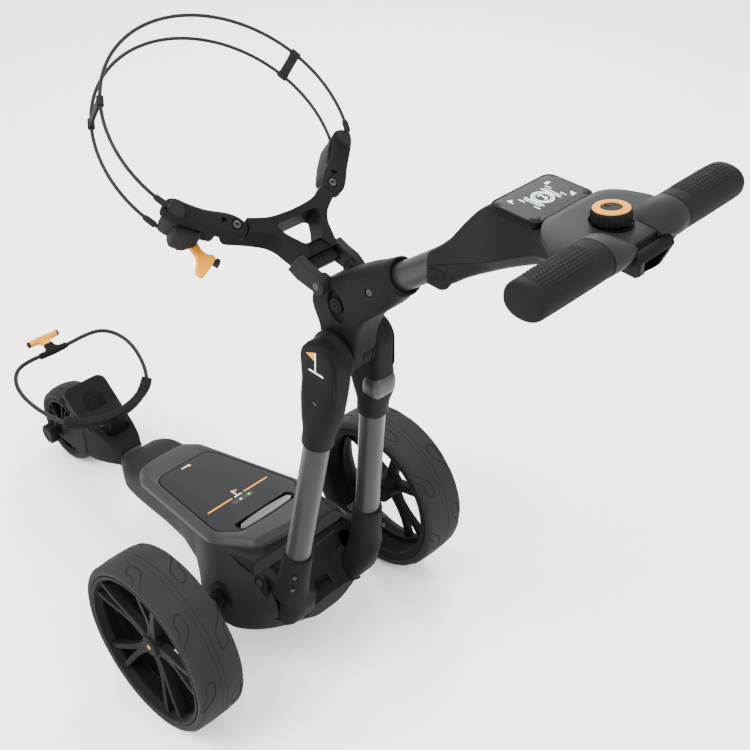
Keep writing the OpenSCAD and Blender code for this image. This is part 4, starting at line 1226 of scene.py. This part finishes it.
def knuckle_extras():
    """The left knuckle's raised lip round the barrel, and the arched fin on its inner face."""
    lip = revolve("knuckle_lip", [(30, 24.5), (33.6, 24.0), (36.4, 25.4), (37.6, 28.4), (37.0, 32.0),
        (34.0, 36.5), (32.6, 43), (30, 43)], 96, placed((0, *HINGE)) @ spin(-90, "Y"), closed=True,
        material="shell", body="legs", angle=35.0)
    # the lip's lower part is drawn in towards the pin
    foot_top, draw_in = 640, 0.86
    for v in lip.data.vertices:
        p = to_mm(v.co)
        if p.z < foot_top:
            v.co = P(p.x, HINGE[0] + (p.y - HINGE[0]) * draw_in, HINGE[1] + (p.z - HINGE[1]) * draw_in)
    outline = [(-22.5, 600), (-22.8, 586), (-27, 572), (-34, 560), (-40, 550), (-43, 538), (-50, 530),
        (-56, 560), (-52, 600), (-40, 620), (-22.5, 620)]
    flat = rounded(outline, 5.0, 4)
    rings = [[(x, y, z) for x, z in flat] for y in (-171, -167.5)]
    fin = loft("knuckle_fin_0", rings, None, material="shell", body="legs", bevel=0.8, angle=40.0)


def cover(side):
    """The inlaid end cover of the hinge, with a plain golf-flag emblem."""
    def stadium(r, drop=31.0, count=72):
        out = []
        for k in range(count):
            a = 2 * math.pi * k / count
            y, z = r * math.cos(a), r * math.sin(a)
            out.append((HINGE[0] + y - (2.0 if z < 0 else 0.0), HINGE[1] + z - (drop if z < 0 else 0.0)))
        return out

    rings = []
    for r, x in ((30.6, 57.2), (31.6, 57.6), (31.9, 58.6), (31.4, 59.2), (30.4, 59.4), (30.0, 59.0),
            (29.6, 59.0), (29.2, 59.6), (28.0, 60.0), (14.0, 60.4)):
        rings.append([(side * x, y, z) for y, z in stadium(r)])
    ob = loft(f"hinge_cover_{side + 1}", rings, None, material="shell", body="legs", angle=30.0)
    cover_lip(side)
    if side < 0:
        emblem()
    return ob


def cover_lip(side):
    """A raised lower lip across the cover."""
    lip = []
    section = ((0.0, -1.6), (0.9, -0.6), (1.0, 0.6), (0.0, 1.8), (-0.8, 0.0))
    for t in np.linspace(-1, 1, 25):
        y = HINGE[0] - 2 + 25.5 * t
        z = HINGE[1] - 31 - 16.0 + 9.0 * t * t
        lip.append([(side * (60.0 + dx), y, z + dz) for dx, dz in section])
    edge = loft(f"hinge_cover_lip_{side + 1}", lip, None, material="shell", body="legs", angle=50.0)


def emblem():
    """A plain golf flag on the left cover."""
    def mark(name, outline, material):
        flat = rounded(outline, 0.6, 3)
        rings = [[(-60.0, y, z) for y, z in flat], [(-60.75, y, z) for y, z in flat]]
        piece = loft(name, rings, None, material=material, body="legs", smooth=False)

    # seen from the left, forward (+Y) is on the left
    mark("emblem_pole", [(-150, 652), (-148, 652), (-148, 682), (-150, 682)], "ui_white")
    mark("emblem_flag", [(-147.2, 682), (-147.2, 668.5), (-131.5, 674.6)], "yellow")
    mark("emblem_green", [(-165, 648.6), (-135, 648.6), (-138, 650.8), (-162, 650.8)], "ui_white")


def release():
    """The satin tongue under the far knuckle."""
    stations = [(28.0, 56.0, -160, -180.5, 609, 7), (20.5, 63.0, -158, -184.5, 604, 9),
        (18.5, 65.5, -156, -185.5, 597, 10), (18.5, 66.0, -156, -185.5, 589, 10),
        (20, 65.5, -156, -185.5, 581, 10), (25, 62, -158, -183.5, 575, 8), (33, 54, -160, -179, 572, 5)]
    rings = [section(x0, x1, yb, yf, z, r, 40) for x0, x1, yf, yb, z, r in stations]
    rings = [[tuple(p) for p in ring] for ring in rings]
    tongue = loft("release_tongue", rings, None, material="silver_dull", body="release", angle=50.0)
    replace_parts(tongue, "release_lever")


yoke()
knuckles_made = [knuckle(side) for side in (-1, 1)]
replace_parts(knuckles_made[0], "knuckles")
knuckle_extras()
covers_made = [cover(side) for side in (-1, 1)]
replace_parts(covers_made[0], "hinge_covers")
release()

# ---------------------------------------------------------------- handle casting, drum and button


# front or top point, rear or bottom point, left half width, right half width, corner radius
CASTING = [
    ((-119, 650), (-181, 650), 21.5, 21.5, 3),
    ((-118.6, 668), (-181.8, 668), 21.5, 21.5, 3),
    ((-116, 690), (-184, 692), 21.5, 21.5, 4),
    ((-112, 702), (-186, 704), 22.5, 22.5, 5),
    ((-107, 716), (-190, 716), 26.0, 26.0, 7),
    ((-103, 729), (-195, 727), 27.2, 27.2, 8),
    ((-104, 745), (-202, 738), 27.2, 27.2, 8),
    ((-120, 764), (-212, 748), 27.2, 27.2, 8),
    ((-142, 780), (-224, 759), 27.2, 27.2, 9),
    ((-163, 795), (-235, 770), 27.2, 27.2, 11),
    ((-184, 810), (-245.5, 782), 27.2, 27.2, 14),
    ((-204, 822), (-253, 793), 26.8, 26.8, 19),
    ((-220, 832), (-259.5, 801), 25.8, 25.8, 24),
    ((-229.8, 838.3), (-261.4, 799.2), 25.0, 25.0, 24.9),
    ((-231.4, 839.6), (-262.8, 800.6), 24.4, 24.4, 24.3),
    ((-232.6, 838.8), (-261.6, 802.4), 22.6, 22.6, 22.5),
    ((-233.2, 836.4), (-259.6, 803.2), 20.6, 20.6, 20.5),
    ((-232.0, 833.9), (-256.9, 802.8), 19.6, 19.6, 19.5),
]


def casting_rings():
    """The casting's sections, softened between the stations up to the round socket."""
    rings = []
    keys = np.linspace(0, len(CASTING) - 1, 80)
    flat = []
    for top, low, hl, hr, r in CASTING:
        flat.append([top[0], top[1], low[0], low[1], hl, hr, r])
    flat = np.array(flat, float)
    for k in keys:
        if k > 12.0:
            row = [np.interp(k, range(len(flat)), flat[:, c]) for c in range(7)]
        else:
            around = k + np.linspace(-0.9, 0.9, 9)
            weight = np.exp(-0.5 * (np.linspace(-2, 2, 9)) ** 2)
            row = [float(np.sum(np.interp(around, range(len(flat)),
                flat[:, c]) * weight) / np.sum(weight)) for c in range(7)]
        ty, tz, ly, lz, hl, hr, r = row
        a, b = Vector((0, ty, tz)), Vector((0, ly, lz))
        mid, span = (a + b) / 2, (a - b).length / 2
        up = (a - b).normalized()
        ring2 = rounded([(-hl, -span), (hr, -span), (hr, span), (-hl, span)], min(r, span * 0.98) * 1.28, 9)
        if k > 12.9:
            ring2 = resampled(ring2, len(ring2))
            circle = []
            for p in ring2:
                q = Vector(p).normalized()
                circle.append((q.x * hl, q.y * span))
            ring2 = circle
        rings.append([tuple(mid + Vector((x, 0, 0)) + up * y) for x, y in ring2])
    return rings


def casting():
    """The casting with its drum room, its recess and its screw hole."""
    body = loft("casting_body", casting_rings(), None, **PLAIN)
    drum_room = revolve("room", [(0, -3.4), (33.0, -3.4), (33.0, 40), (0, 40)], 96,
        placed((0, *HINGE)) @ spin(90, "Y"), **PLAIN)
    left = placed((-27.2, -153.5, 742)) @ spin(-12, "X") @ spin(-90, "Y")
    oval = []
    for k in range(56):
        a = 2 * math.pi * k / 56
        oval.append((24.0 * math.sin(a), 14.6 * math.cos(a)))
    recess = loft("recess", [[(x, y, -5.2) for x, y in oval], [(x, y, -1.4) for x, y in oval],
        [(x * 1.07, y * 1.1, 0.8) for x, y in oval], [(x * 1.12, y * 1.16, 6) for x, y in oval]], left,
        **PLAIN)
    screw_hole = revolve("hole", [(0, -2.6), (6.2, -2.6), (6.6, 6), (0, 6)], 40, placed((-27.4, -211, 790)) @
        spin(-90, "Y"), **PLAIN)
    cut_by(body, [drum_room, recess, screw_hole])
    finish_mesh(body, "shell", "handle", bevel=1.2, segments=3, angle=40.0)
    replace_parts(body, "handle_casting")


def casting_barrel():
    """The barrel on the pin, and the drum beside it."""
    barrel = revolve("casting_barrel", [(9, -21.6), (30.4, -21.6), (31.6, -20.6), (31.8, -19), (31.8, -4.6),
        (31.2, -3.6), (9, -3.6)], 96, placed((0, *HINGE)) @ spin(90, "Y"), closed=True, material="shell",
        body="handle", angle=35.0)
    drum = revolve("hinge_drum_body", [(9, -3.0), (30.6, -3.0), (31.6, -2.2), (31.8, -1), (31.8, 14.6),
        (30.6, 15.2), (30.6, 16.4), (31.8, 17), (31.8, 20.6), (31.0, 21.4), (9, 21.4)], 96,
        placed((0, *HINGE)) @ spin(90, "Y"), closed=True, material="dark_shell", body="handle", angle=35.0)
    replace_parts(drum, "hinge_drum")


def casting_fittings():
    """The fold button, the screw and the bosses that hold the bag bracket."""
    face = placed((-25.2, -152, 743)) @ spin(-90, "Y")
    button = revolve("fold_button_cap", [(0, 1.0), (1.8, 1.0), (2.4, 2.4), (5.0, 2.4), (5.4, 1.2), (6.4, 1.2),
        (6.9, 2.2), (9.4, 2.0), (10.8, 1.0), (11.2, -1.9)], 64, face, material="shell", body="button",
        angle=25.0)
    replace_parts(button, "fold_button")
    screw = revolve("casting_screw", [(0, -1.4), (1.4, -1.4), (1.9, -0.4), (4.4, -0.2), (5.2, -0.8),
        (5.4, -2.0)], 40, placed((-26.4, -211, 790)) @ spin(-90, "Y"), material="dark_steel", body="handle",
        angle=30.0)
    for side in (-1, 1):
        ear = revolve(f"bracket_boss_{side + 1}", [(4, 20), (11.6, 20), (12.8, 21), (13.0, 22.4),
            (12.6, 26.4), (11.6, 27.3), (4, 27.3)], 56, placed(FOLD_PIN) @ spin(90 * side, "Y"), closed=True,
            material="shell", body="handle", angle=35.0)


casting()
casting_barrel()
casting_fittings()

# ---------------------------------------------------------------- bag support: bracket, pads, rings and latch


PAD_SCREW = (85.2, 120)
RING_R, RING_S = 175.0, 252.8
RING_TOP, RING_LOW = 4.0, -45.0
RING_CORD_RADIUS = 0.0025
LOWER_CORD_RADIUS = 0.004


def on_bracket():
    """x sideways, y out along the bracket, z along the bag; the origin is the folding pin."""
    return placed(FOLD_PIN, turn_x=35)


def upright(name, outline, low, high, matrix, radius=0.0, **look):
    """An outline in the frame's YZ plane, raised along its X axis."""
    flat = rounded(outline, radius) if radius else outline
    rings = [[(low, y, z) for y, z in flat], [(high, y, z) for y, z in flat]]
    return loft(name, rings, matrix, **look)


def tapered(name, outline, levels, matrix, radius, **look):
    """An outline whose copies step through (height, inset) levels."""
    flat = [Vector(p) for p in resampled(rounded(outline, radius, 5), 96)]
    count = len(flat)
    area = sum(flat[i - 1].x * flat[i].y - flat[i].x * flat[i - 1].y for i in range(count))
    way = 1 if area > 0 else -1
    rings = []
    for z, inset in levels:
        ring = []
        for i, p in enumerate(flat):
            d = (flat[(i + 1) % count] - flat[i - 1]).normalized()
            ring.append((p.x - d.y * inset * way, p.y + d.x * inset * way, z))
        rings.append(ring)
    return loft(name, rings, matrix, **look)


def bracket():
    """The plate of the bag bracket, with its window, its gap and its two seats."""
    m = on_bracket()
    half = [(0, 108), (37, 110), (68, 122), (85, 133), (97, 127), (99, 116), (80, 106), (62, 96), (47, 86),
        (38, 74), (33, 56), (30, 40), (28, 26), (0, 26)]
    radii = [0, 40, 20, 6, 7, 7, 20, 20, 18, 18, 20, 10, 2, 0]
    radii = radii + radii[-2:0:-1]
    outline = rounded(both(half), radii[: len(both(half))], 6)
    rings = [[(x, y, z) for x, y in outline] for z in (-36, 2)]
    points, faces = skin(rings)
    body = mesh_object("bracket_body", points, faces, m, **PLAIN)
    window = tapered("window", [(-30, 97.5), (30, 97.5), (37, 93.5), (31, 80), (15, 57), (-15, 57), (-31, 80),
        (-37, 93.5)], [(-50, 1.0), (2.01, 0.0), (10, -1.0)], m, 6.0, **PLAIN)
    under = upright("under", [(10, -24), (40, -30), (62, -34), (84, -35), (110, -35.5), (110, -60),
        (10, -60)], -120, 120, m, **PLAIN)
    gap_cut = slab("gap", [(-27.3, -20), (27.3, -20), (27.3, 39), (-27.3, 39)], -60, 20, m, radius=3.0,
        **PLAIN)
    seats = [revolve("seat", [(0, -15), (17.5, -15), (17.5, 10), (0, 10)], 64,
        m @ shift(i * PAD_SCREW[0], PAD_SCREW[1], 0), **PLAIN) for i in (-1, 1)]
    channel = slab("channel", [(-20, 40), (20, 40), (11, 56), (-11, 56)], -1.5, 10, m, radius=2.0, **PLAIN)
    cut_by(body, [window, under, gap_cut, channel] + seats)
    finish_mesh(body, "shell", "bag_support", bevel=1.8, segments=3, angle=38.0)
    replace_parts(body, "bag_bracket")


def bracket_ears():
    """The two ears on the folding pin, with their pins, and the web between them."""
    m = on_bracket()
    for side in (-1, 1):
        ear = arc_points(13, -90, -180, 24) + [(12, 13.0), (30, 6.0), (46, 2.0), (46, -30), (26, -26),
            (10, -18)]
        x = sorted((side * 27.8, side * 40.4))
        piece = upright(f"bracket_ear_{side + 1}", ear, x[0], x[1], m, material="shell_light",
            body="bag_support", bevel=1.8, segments=3)
        if side > 0:
            web = slab("bracket_web", [(-28, 24), (28, 24), (28, 44), (-28, 44)], -20, -8, m,
                material="shell_light", body="bag_support", bevel=1.5)
        screw = revolve(f"bracket_ear_pin_{side + 1}", [(0, 0.6), (2.0, 0.4), (2.4, 1.2), (4.8, 1.0),
            (5.4, 0.2), (5.6, -3)], 40, m @ shift(side * 40.2, 0, 0) @ spin(90 * side, "Y"),
            material="dark_steel", body="bag_support", angle=30.0)


PAD_TOP = [(70, 116), (76, 130), (87, 141), (112, 156), (128, 172), (138, 185), (147, 189), (158, 186),
    (166, 177), (158, 163), (143, 149), (124, 132), (109, 116), (98, 106), (86, 102), (75, 106)]
PAD_CORE = [(92, 140), (101, 127.5), (114, 136), (130, 152), (147, 174), (145, 186), (136, 184), (116, 167),
    (102, 152)]


def pad(side):
    """A bag pad: a soft top, a core below it and a screw."""
    m = on_bracket() @ Matrix.Scale(side, 4, (1, 0, 0))
    top = tapered(f"pad_top_{side + 1}", PAD_TOP, [(-14.6, 1.4), (-13.4, 0.2), (-2.4, 0.0), (-0.8, 0.6),
        (0.0, 2.0), (0.2, 6.0)], m, 9.0, **PLAIN)
    bore = revolve("bore", [(0, -3.4), (7.6, -3.4), (7.9, 6), (0, 6)], 48, m @ shift(*PAD_SCREW, 0), **PLAIN)
    vee = slab("vee", [(93, 131), (104, 130), (97, 138)], -4.5, 6, m, radius=1.5, **PLAIN)
    cut_by(top, [bore, vee])
    finish_mesh(top, "shell", "bag_support", angle=36.0)
    core = tapered(f"pad_core_{side + 1}", PAD_CORE, [(-50, 4.0), (-48.5, 1.4), (-44, 0.2), (-30, 0.0),
        (-14.4, 0.6), (-8, 1.0)], m, 9.0, material="shell_light", body="bag_support", angle=36.0)
    screw = revolve(f"pad_screw_{side + 1}", [(0, -1.4), (2.3, -1.4), (2.7, 0.6), (4.0, 1.0), (5.6, 0.4),
        (6.0, -1.0), (6.0, -4)], 44, m @ shift(*PAD_SCREW, 0), material="dark_steel", body="bag_support",
        angle=30.0)
    if side < 0:
        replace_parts(screw, "pad_screws")
        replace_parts(top, "bag_pads")


def cord_curve(name, points, radius, resolution):
    """A round cord through points of the row frame, in metres."""
    data = bpy.data.curves.new(name, "CURVE")
    data.dimensions = "3D"
    line = data.splines.new("POLY")
    line.points.add(len(points) - 1)
    for spot, p in zip(line.points, points):
        spot.co = (p.x, p.y, p.z, 1.0)
    data.bevel_depth = radius
    data.bevel_resolution = resolution
    data.use_fill_caps = True
    ob = bpy.data.objects.new(name, data)
    bpy.context.scene.collection.objects.link(ob)
    data.materials.append(MAT["cord"])
    return ob, line


def ring_cord(name, z, node):
    """One elastic ring round the bag, from the right pad over the top to the left pad."""
    m = on_bracket()
    turn = arc_points(RING_R, -27, 234, 180, (0, RING_S))
    ob, line = cord_curve(name, [m @ Vector((x, y, z)) for x, y in turn], RING_CORD_RADIUS, 4)
    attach(ob, "bag_support")
    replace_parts(ob, node)
    start = line.points[0].co
    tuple(start[:3])
    return ob


def clips():
    """Two clips that hold both rings together."""
    made = []
    for i, a in enumerate((21.0, 150.0)):
        m = on_bracket() @ shift(0, RING_S, 0) @ spin(a, "Z") @ shift(RING_R, 0, 0)
        for j, z in enumerate((RING_TOP, RING_LOW)):
            sleeve = revolve(f"clip_sleeve_{i}_{j}", [(2.6, -7.5), (4.0, -7.5), (4.8, -6.6), (4.9, 6.6),
                (4.0, 7.5), (2.6, 7.5)], 32, m @ shift(0, 0, z) @ spin(-90, "X"), closed=True,
                material="shell_light", body="bag_support", angle=35.0)
        bar = tapered(f"clip_bar_{i}", [(-7.4, -48), (7.4, -48), (7.0, -36), (7.0, -20), (7.0, -4), (7.4, 7),
            (-7.4, 7), (-7.0, -4), (-7.0, -20), (-7.0, -36)],
            [(-2.0, 0.8), (-1.2, 0.0), (1.2, 0.0), (2.0, 0.8)],
            m @ shift(1.4, 0, 0) @ Matrix(((0, 0, 1, 0), (1, 0, 0, 0), (0, 1, 0, 0), (0, 0, 0, 1))), 3.0,
            material="shell_light", body="bag_support", angle=40.0)
        made.append(bar)
    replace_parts(made[0], "ring_clips")


def strap_ends():
    """The ferrules at the rings' ends, and their two anchors."""
    m = on_bracket()
    for side in (-1, 1):
        for j, z in enumerate((RING_TOP, RING_LOW)):
            a = -22.0 if side > 0 else 202.0
            at = m @ shift(0, RING_S, z) @ spin(a, "Z") @ shift(RING_R, 0, 0)
            ferrule = revolve(f"ring_ferrule_{side + 1}_{j}",
                [(2.6, -9), (4.0, -9), (4.5, -8), (4.4, 4), (3.7, 8), (3.1, 9), (2.6, 9)], 36,
                at @ spin(-90 * side, "X"), closed=True, material="shell_light", body="bag_support",
                angle=40.0)
        grip = tapered(f"strap_anchor_{side + 1}", [(side * x, y) for x,
            y in ((136, 178), (138, 162), (146, 154), (156, 162), (161, 174), (154, 182), (146, 185))],
            [(-50, 3.0), (-47, 0.8), (-40, 0.0), (-4, 0.0), (2, 0.8), (5.5, 3.0)], m, 5.0,
            material="shell_light", body="bag_support", angle=36.0)
        if side > 0:
            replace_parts(grip, "strap_ends")


def latch():
    """The latch's housing and ribs, and its yellow lever."""
    m = on_bracket()
    block = tapered("latch_housing", [(-118, 150), (-114, 141), (-125, 132), (-147, 134), (-160, 148),
        (-154, 162), (-138, 160)], [(-51, 3.0), (-49.6, 0.8), (-46, 0.0), (-34, 0.4), (-24, 1.6), (-20, 4.0)],
        m, 5.0, material="shell_light", body="bag_support", angle=36.0)
    for i, (x, y, a) in enumerate(((-144, 143, 30), (-149, 153, 30))):
        ridge = slab(f"latch_rib_{i}", [(-7, -1.4), (7, -1.4), (7, 1.4), (-7, 1.4)], -52.5, -49,
            m @ shift(x, y, 0) @ spin(a, "Z"), radius=1.2, material="shell_light", body="bag_support")
    m2 = m @ shift(-124, 142, -60.5)
    shape = [(-6, -2), (-4.5, -18), (-8, -27), (-18, -36), (-19.5, -44), (-14, -50), (18, -35), (17, -27),
        (9, -24), (6.5, -16), (7.5, -2), (6, 7), (-6, 7)]
    lever = tapered("latch_lever_tee", shape, [(-0.0, 1.2), (0.8, 0.2), (4.2, 0.0), (7.6, 0.2), (8.5, 1.4)],
        m2, 4.0, material="yellow", body="latch", angle=36.0)
    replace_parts(lever, "latch_lever")
    tip = tapered("latch_lever_tip", [(10, -38), (18, -34), (22, -39), (14, -46)],
        [(-0.6, 0.8), (0.4, 0.0), (8.2, 0.0), (9.2, 0.8)], m2, 2.5, material="shell_light", body="latch",
        angle=36.0)


bracket()
bracket_ears()
for side in (-1, 1):
    pad(side)
ring_cord("upper_ring_top", RING_TOP, "strap_ring_top")
ring_cord("upper_ring_low", RING_LOW, "strap_ring_low")
clips()
strap_ends()
latch()

# ---------------------------------------------------------------- front housing, bag rest, lower strap


def on_plate():
    """The bag rest's tilted frame."""
    return placed((0, 550, 176), turn_x=35)


def on_strap():
    """The lower strap's tilted frame."""
    return placed((0, 560, 220), turn_x=18)


def front_housing():
    """The housing over the front wheel, with its wheel room and its slots."""
    # y, half width at the top, top z, half width at the bottom, bottom z
    stations = [(436, 22, 125, 20, 88, 6), (444, 27, 131, 25, 86, 8), (456, 32, 137, 30, 83, 9),
        (476, 36, 148, 36, 78, 9), (500, 40, 156, 40, 71, 9), (522, 43, 163, 42, 66, 9),
        (538, 44, 168, 43, 64, 9), (552, 44, 172, 43, 84, 9), (570, 43, 176, 42, 118, 9),
        (588, 42, 176, 40, 146, 9)]
    rings = []
    for y in np.linspace(588, 436, 56):
        wt, zt, wb, zb, r = (eased(stations, k, y, 4.0) for k in range(1, 6))
        ring = rounded([(-wb, zb), (wb, zb), (wt, zt), (-wt, zt)], [r, r, r, r], 5)
        rings.append([(x, float(y), z) for x, z in ring])
    body = loft("front_body", rings, None, **PLAIN)
    m = placed(FRONT_AXIS) @ spin(90, "Y")
    room = revolve("room", [(0, -38.6), (86, -38.6), (86, 38.6), (0, 38.6)], 96, m, **PLAIN)
    slot_cut = upright("slot_cut", [(448, 66), (500, 50), (512, 60), (470, 84)], -27, 27, placed((0, 0, 0)),
        radius=4.0, **PLAIN)
    dent = slab("dent", [(-22, 466), (22, 466), (30, 508), (-30, 508)], 141, 200, None, radius=6.0, **PLAIN)
    cut_by(body, [room, slot_cut, dent])
    finish_mesh(body, "shell", "chassis", bevel=1.6, segments=3, angle=38.0)
    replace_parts(body, "front_housing")


def bag_rest():
    """A broad tilted plate that runs down into the housing."""
    plate = tapered("bag_rest_plate", both([(0, 45), (37, 45), (47, 35), (45, -34), (33, -102), (24, -106),
        (0, -106)]), [(-11, 1.2), (-9.4, 0.2), (-2.4, 0.0), (-0.7, 0.7), (0.0, 2.2), (0.15, 8.0)], on_plate(),
        9.0, material="shell", body="chassis", angle=34.0)


def wheel_hood():
    """The hood over the front wheel."""
    hood = []
    for a in np.linspace(104, 128, 14):
        t = math.radians(a)
        ring = []
        half = 43.5
        for x, h in ((-half, 86.0), (-half, 88.0), (-half + 2.5, 90.6), (-half * 0.55, 92.0), (0, 92.4),
                (half * 0.55, 92.0), (half - 2.5, 90.6), (half, 88.0), (half, 86.0), (half - 3, 85.2),
                (0, 86.0), (-half + 3, 85.2)):
            ring.append((x, FRONT_AXIS[1] + h * math.cos(t), FRONT_AXIS[2] + h * math.sin(t)))
        hood.append(ring)
    cover = loft("wheel_hood", hood, None, material="shell", body="chassis", angle=50.0)


def fork_arms():
    """The arms on both sides of the front wheel, with their bosses."""
    for side in (-1, 1):
        outline = arc_points(17.5, -70, 172, 28, FRONT_AXIS[1:]) + [(604, 112), (584, 134), (560, 158),
            (536, 150), (530, 110), (532, 74), (548, 62), (590, 62), (624, 62)]
        x = sorted((side * 38.4, side * 44.6))
        arm = side_slab(f"fork_arm_{side + 1}", outline, x[0], x[1], radius=3.0, material="shell",
            body="chassis", bevel=2.0, segments=3)
        hub = revolve(f"fork_boss_{side + 1}", [(5.2, 0), (13, 0), (14.4, -0.8), (15, -2.4), (15, -4)], 48,
            placed((side * 46.2, *FRONT_AXIS[1:])) @ spin(90 * side, "Y"), material="shell", body="chassis",
            angle=30.0)


def neck_collar():
    """The neck's dark collar at the housing."""
    collar = []
    for y, grow in ((434, 0.6), (436, 2.6), (446, 3.4), (450, 3.4)):
        collar.append([(x, y, z) for x, z in rounded([(-21 - grow, 85 - grow), (21 + grow, 85 - grow),
            (21 + grow, 123 + grow), (-21 - grow, 123 + grow)], 9.0, 5)])
    sleeve = loft("neck_collar", collar, None, material="shell", body="chassis", angle=40.0)


def arch_plate():
    """The arched badge of the bag rest, its small light and its two screws."""
    m = on_plate()
    arch = [(-21, -26)] + arc_points(21, 180, -180, 28, (0, 2)) + [(21, -26), (16, -30.5), (-16, -30.5)]
    plate = tapered("rest_badge", arch, [(-1.0, 0.4), (0.0, 0.4), (1.2, 0.4), (1.8, 1.2), (1.9, 3.0)], m, 2.0,
        material="dark_shell", body="chassis", angle=32.0)
    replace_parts(plate, "base_plate")
    lit = revolve("rest_badge_light", [(0, 2.4), (0.6, 2.3), (0.8, 1.8)], 24, m, material="grab",
        body="chassis", angle=30.0)
    made = []
    for side in (-1, 1):
        made.append(revolve(f"rest_screw_{side + 1}", [(0, 1.1), (1.2, 1.1), (1.5, 2.3), (2.6, 2.5),
            (3.3, 2.1), (3.5, 1.2)], 32, m @ shift(side * 13.5, 1.5, 0), material="black_and_painted_shade", body="chassis",
            angle=30.0))
    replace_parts(made[0], "base_screws")


def strap_arm():
    """The lower strap's bow, with ribbed ends, a foot and a clip."""
    m = on_strap()
    centre_y, radius = 40.0, 137.8

    def bow_ring(degrees, grow, corner):
        """The bow's section at an angle of its arc, larger by grow on every side."""
        t = math.radians(degrees)
        w, h = 8.4 + grow, 7.4 + grow
        flat = rounded([(-w, -h), (w, -h), (w, h), (-w, h)], corner, 4)
        return [((radius + dr) * math.cos(t), centre_y + (radius + dr) * math.sin(t), dz) for dr, dz in flat]

    rings = [bow_ring(a, 0.0, 3.4) for a in np.linspace(228, 312, 57)]
    arm = loft("strap_bow", rings, m, material="rubber", body="chassis", angle=40.0)
    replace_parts(arm, "strap_arm")
    for i, (a0, a1) in enumerate(((241.0, 226.4), (299.0, 313.6))):
        ribs = ((0.0, 0.1), (0.02, 0.9), (0.30, 1.2), (0.32, 0.5), (0.36, 0.5), (0.38, 1.6), (0.66, 2.0),
            (0.68, 1.2), (0.72, 1.2), (0.74, 2.2), (0.97, 1.8), (1.0, -0.6))
        rings = [bow_ring(a0 + (a1 - a0) * part, grow, 4.0) for part, grow in ribs]
        cap = loft(f"strap_bow_end_{i}", rings, m, material="rubber", body="chassis", angle=38.0)
    # the bow's foot, down to the housing
    foot = tapered("strap_foot", [(-20, -104), (20, -104), (19, -90), (-19, -90)],
        [(-72, -1.0), (-40, 0.0), (-14, 0.0), (-8, -0.8), (-6, 0.6)], m, 4.0, material="rubber",
        body="chassis", angle=40.0)
    clip = slab("strap_clip", [(-40, -99), (-22, -102), (-22, -94), (-40, -91)], -12.5, -8.0, m, radius=2.0,
        material="silver_dull", body="chassis", bevel=0.6)


STRAP_ROUTE = [(-94, -62), (-101, -50), (-109, -34), (-116, -14), (-121, 8), (-123, 32), (-119, 58),
    (-107, 80), (-88, 93), (-60, 97), (-30, 96), (0, 95)]
STRAP_ROUTE += [(-x, y) for x, y in reversed(STRAP_ROUTE[:-1])]


def between(p, i, t):
    """A point on a smooth curve through p, between its points i and i + 1."""
    a, b, c, d = (Vector(p[min(max(i + k, 0), len(p) - 1)]) for k in (-1, 0, 1, 2))
    square = (2 * a - 5 * b + 4 * c - d) * t * t
    cube = (3 * b - a - 3 * c + d) * t ** 3
    return 0.5 * (2 * b + (c - a) * t + square + cube)


def lower_cord():
    """The lower cord, with its start and its length."""
    m = on_strap()
    steps = 8
    route = [between(STRAP_ROUTE, i, k / steps) for i in range(len(STRAP_ROUTE) - 1) for k in range(steps)]
    route.append(Vector(STRAP_ROUTE[-1]))
    points = [m @ Vector((q.x, q.y, 0)) for q in route]
    length = sum((b - a).length for a, b in zip(points, points[1:]))
    ob, line = cord_curve("lower_strap_cord", points, LOWER_CORD_RADIUS, 5)
    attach(ob, "chassis")
    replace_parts(ob, "lower_cord")
    return ob, line.points[0].co[:3], length


def along_x(stations, y=0.0, count=32):
    """Rings of a round bar that lies along X at a given y, from (x, radius) stations."""
    circle = [2 * math.pi * k / count for k in range(count)]
    return [[(x, y + r * math.cos(a), r * math.sin(a)) for a in circle] for x, r in stations]


def tee():
    """The T handle on the lower cord: a dark sleeve and a yellow bar with dark ends."""
    m = on_strap() @ shift(-14, 95.5, 0)
    rings = along_x([(-30, 4.1), (-30, 5.6), (-29, 6.2), (-18, 6.5), (-8, 7.0), (0, 7.2), (8, 7.0), (18, 6.5),
        (29, 6.2), (30, 5.6), (30, 4.1)])
    sleeve = loft("tee_sleeve", rings, m, material="shell", body="chassis", angle=45.0)
    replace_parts(sleeve, "tee_body")
    web = tapered("tee_web", [(-20, 3), (20, 3), (12, 8), (9.5, 12), (9.5, 20), (-9.5, 20), (-9.5, 12),
        (-12, 8)], [(-4.6, 0.8), (-3.8, 0.0), (3.8, 0.0), (4.6, 0.8)], m, 3.0, material="shell",
        body="chassis", angle=36.0)
    grip_ends = []
    rings = along_x([(-30, 2.0), (-30, 5.2), (-29.2, 6.2), (-20, 6.6), (-10, 6.9), (0, 7.0), (10, 6.9),
        (20, 6.6), (29.2, 6.2), (30, 5.2), (30, 2.0)], 36)
    bar = loft("tee_bar", rings, m, material="yellow", body="chassis", angle=45.0)
    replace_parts(bar, "tee_handle")
    stem = tapered("tee_stem", [(-8.6, 18), (8.6, 18), (9.4, 25), (13, 29), (20, 34), (-20, 34), (-13, 29),
        (-9.4, 25)], [(-4.0, 0.8), (-3.2, 0.0), (3.2, 0.0), (4.0, 0.8)], m, 3.0, material="yellow",
        body="chassis", angle=36.0)
    for side in (-1, 1):
        stations = [(29.6, 3.0), (30.0, 5.4), (30.6, 6.3), (33.0, 6.3), (33.8, 5.4), (33.8, 2.0)]
        rings = along_x([(side * x, r) for x, r in stations], 36)
        end = loft(f"tee_bar_end_{side + 1}", rings, m, material="shell", body="chassis", angle=40.0)
        grip_ends.append(end)
    return [sleeve, web, bar, stem] + grip_ends


front_housing()
bag_rest()
wheel_hood()
fork_arms()
neck_collar()
arch_plate()
strap_arm()
cord_piece, cord_start, cord_length = lower_cord()
tee_pieces = tee()
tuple(cord_start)
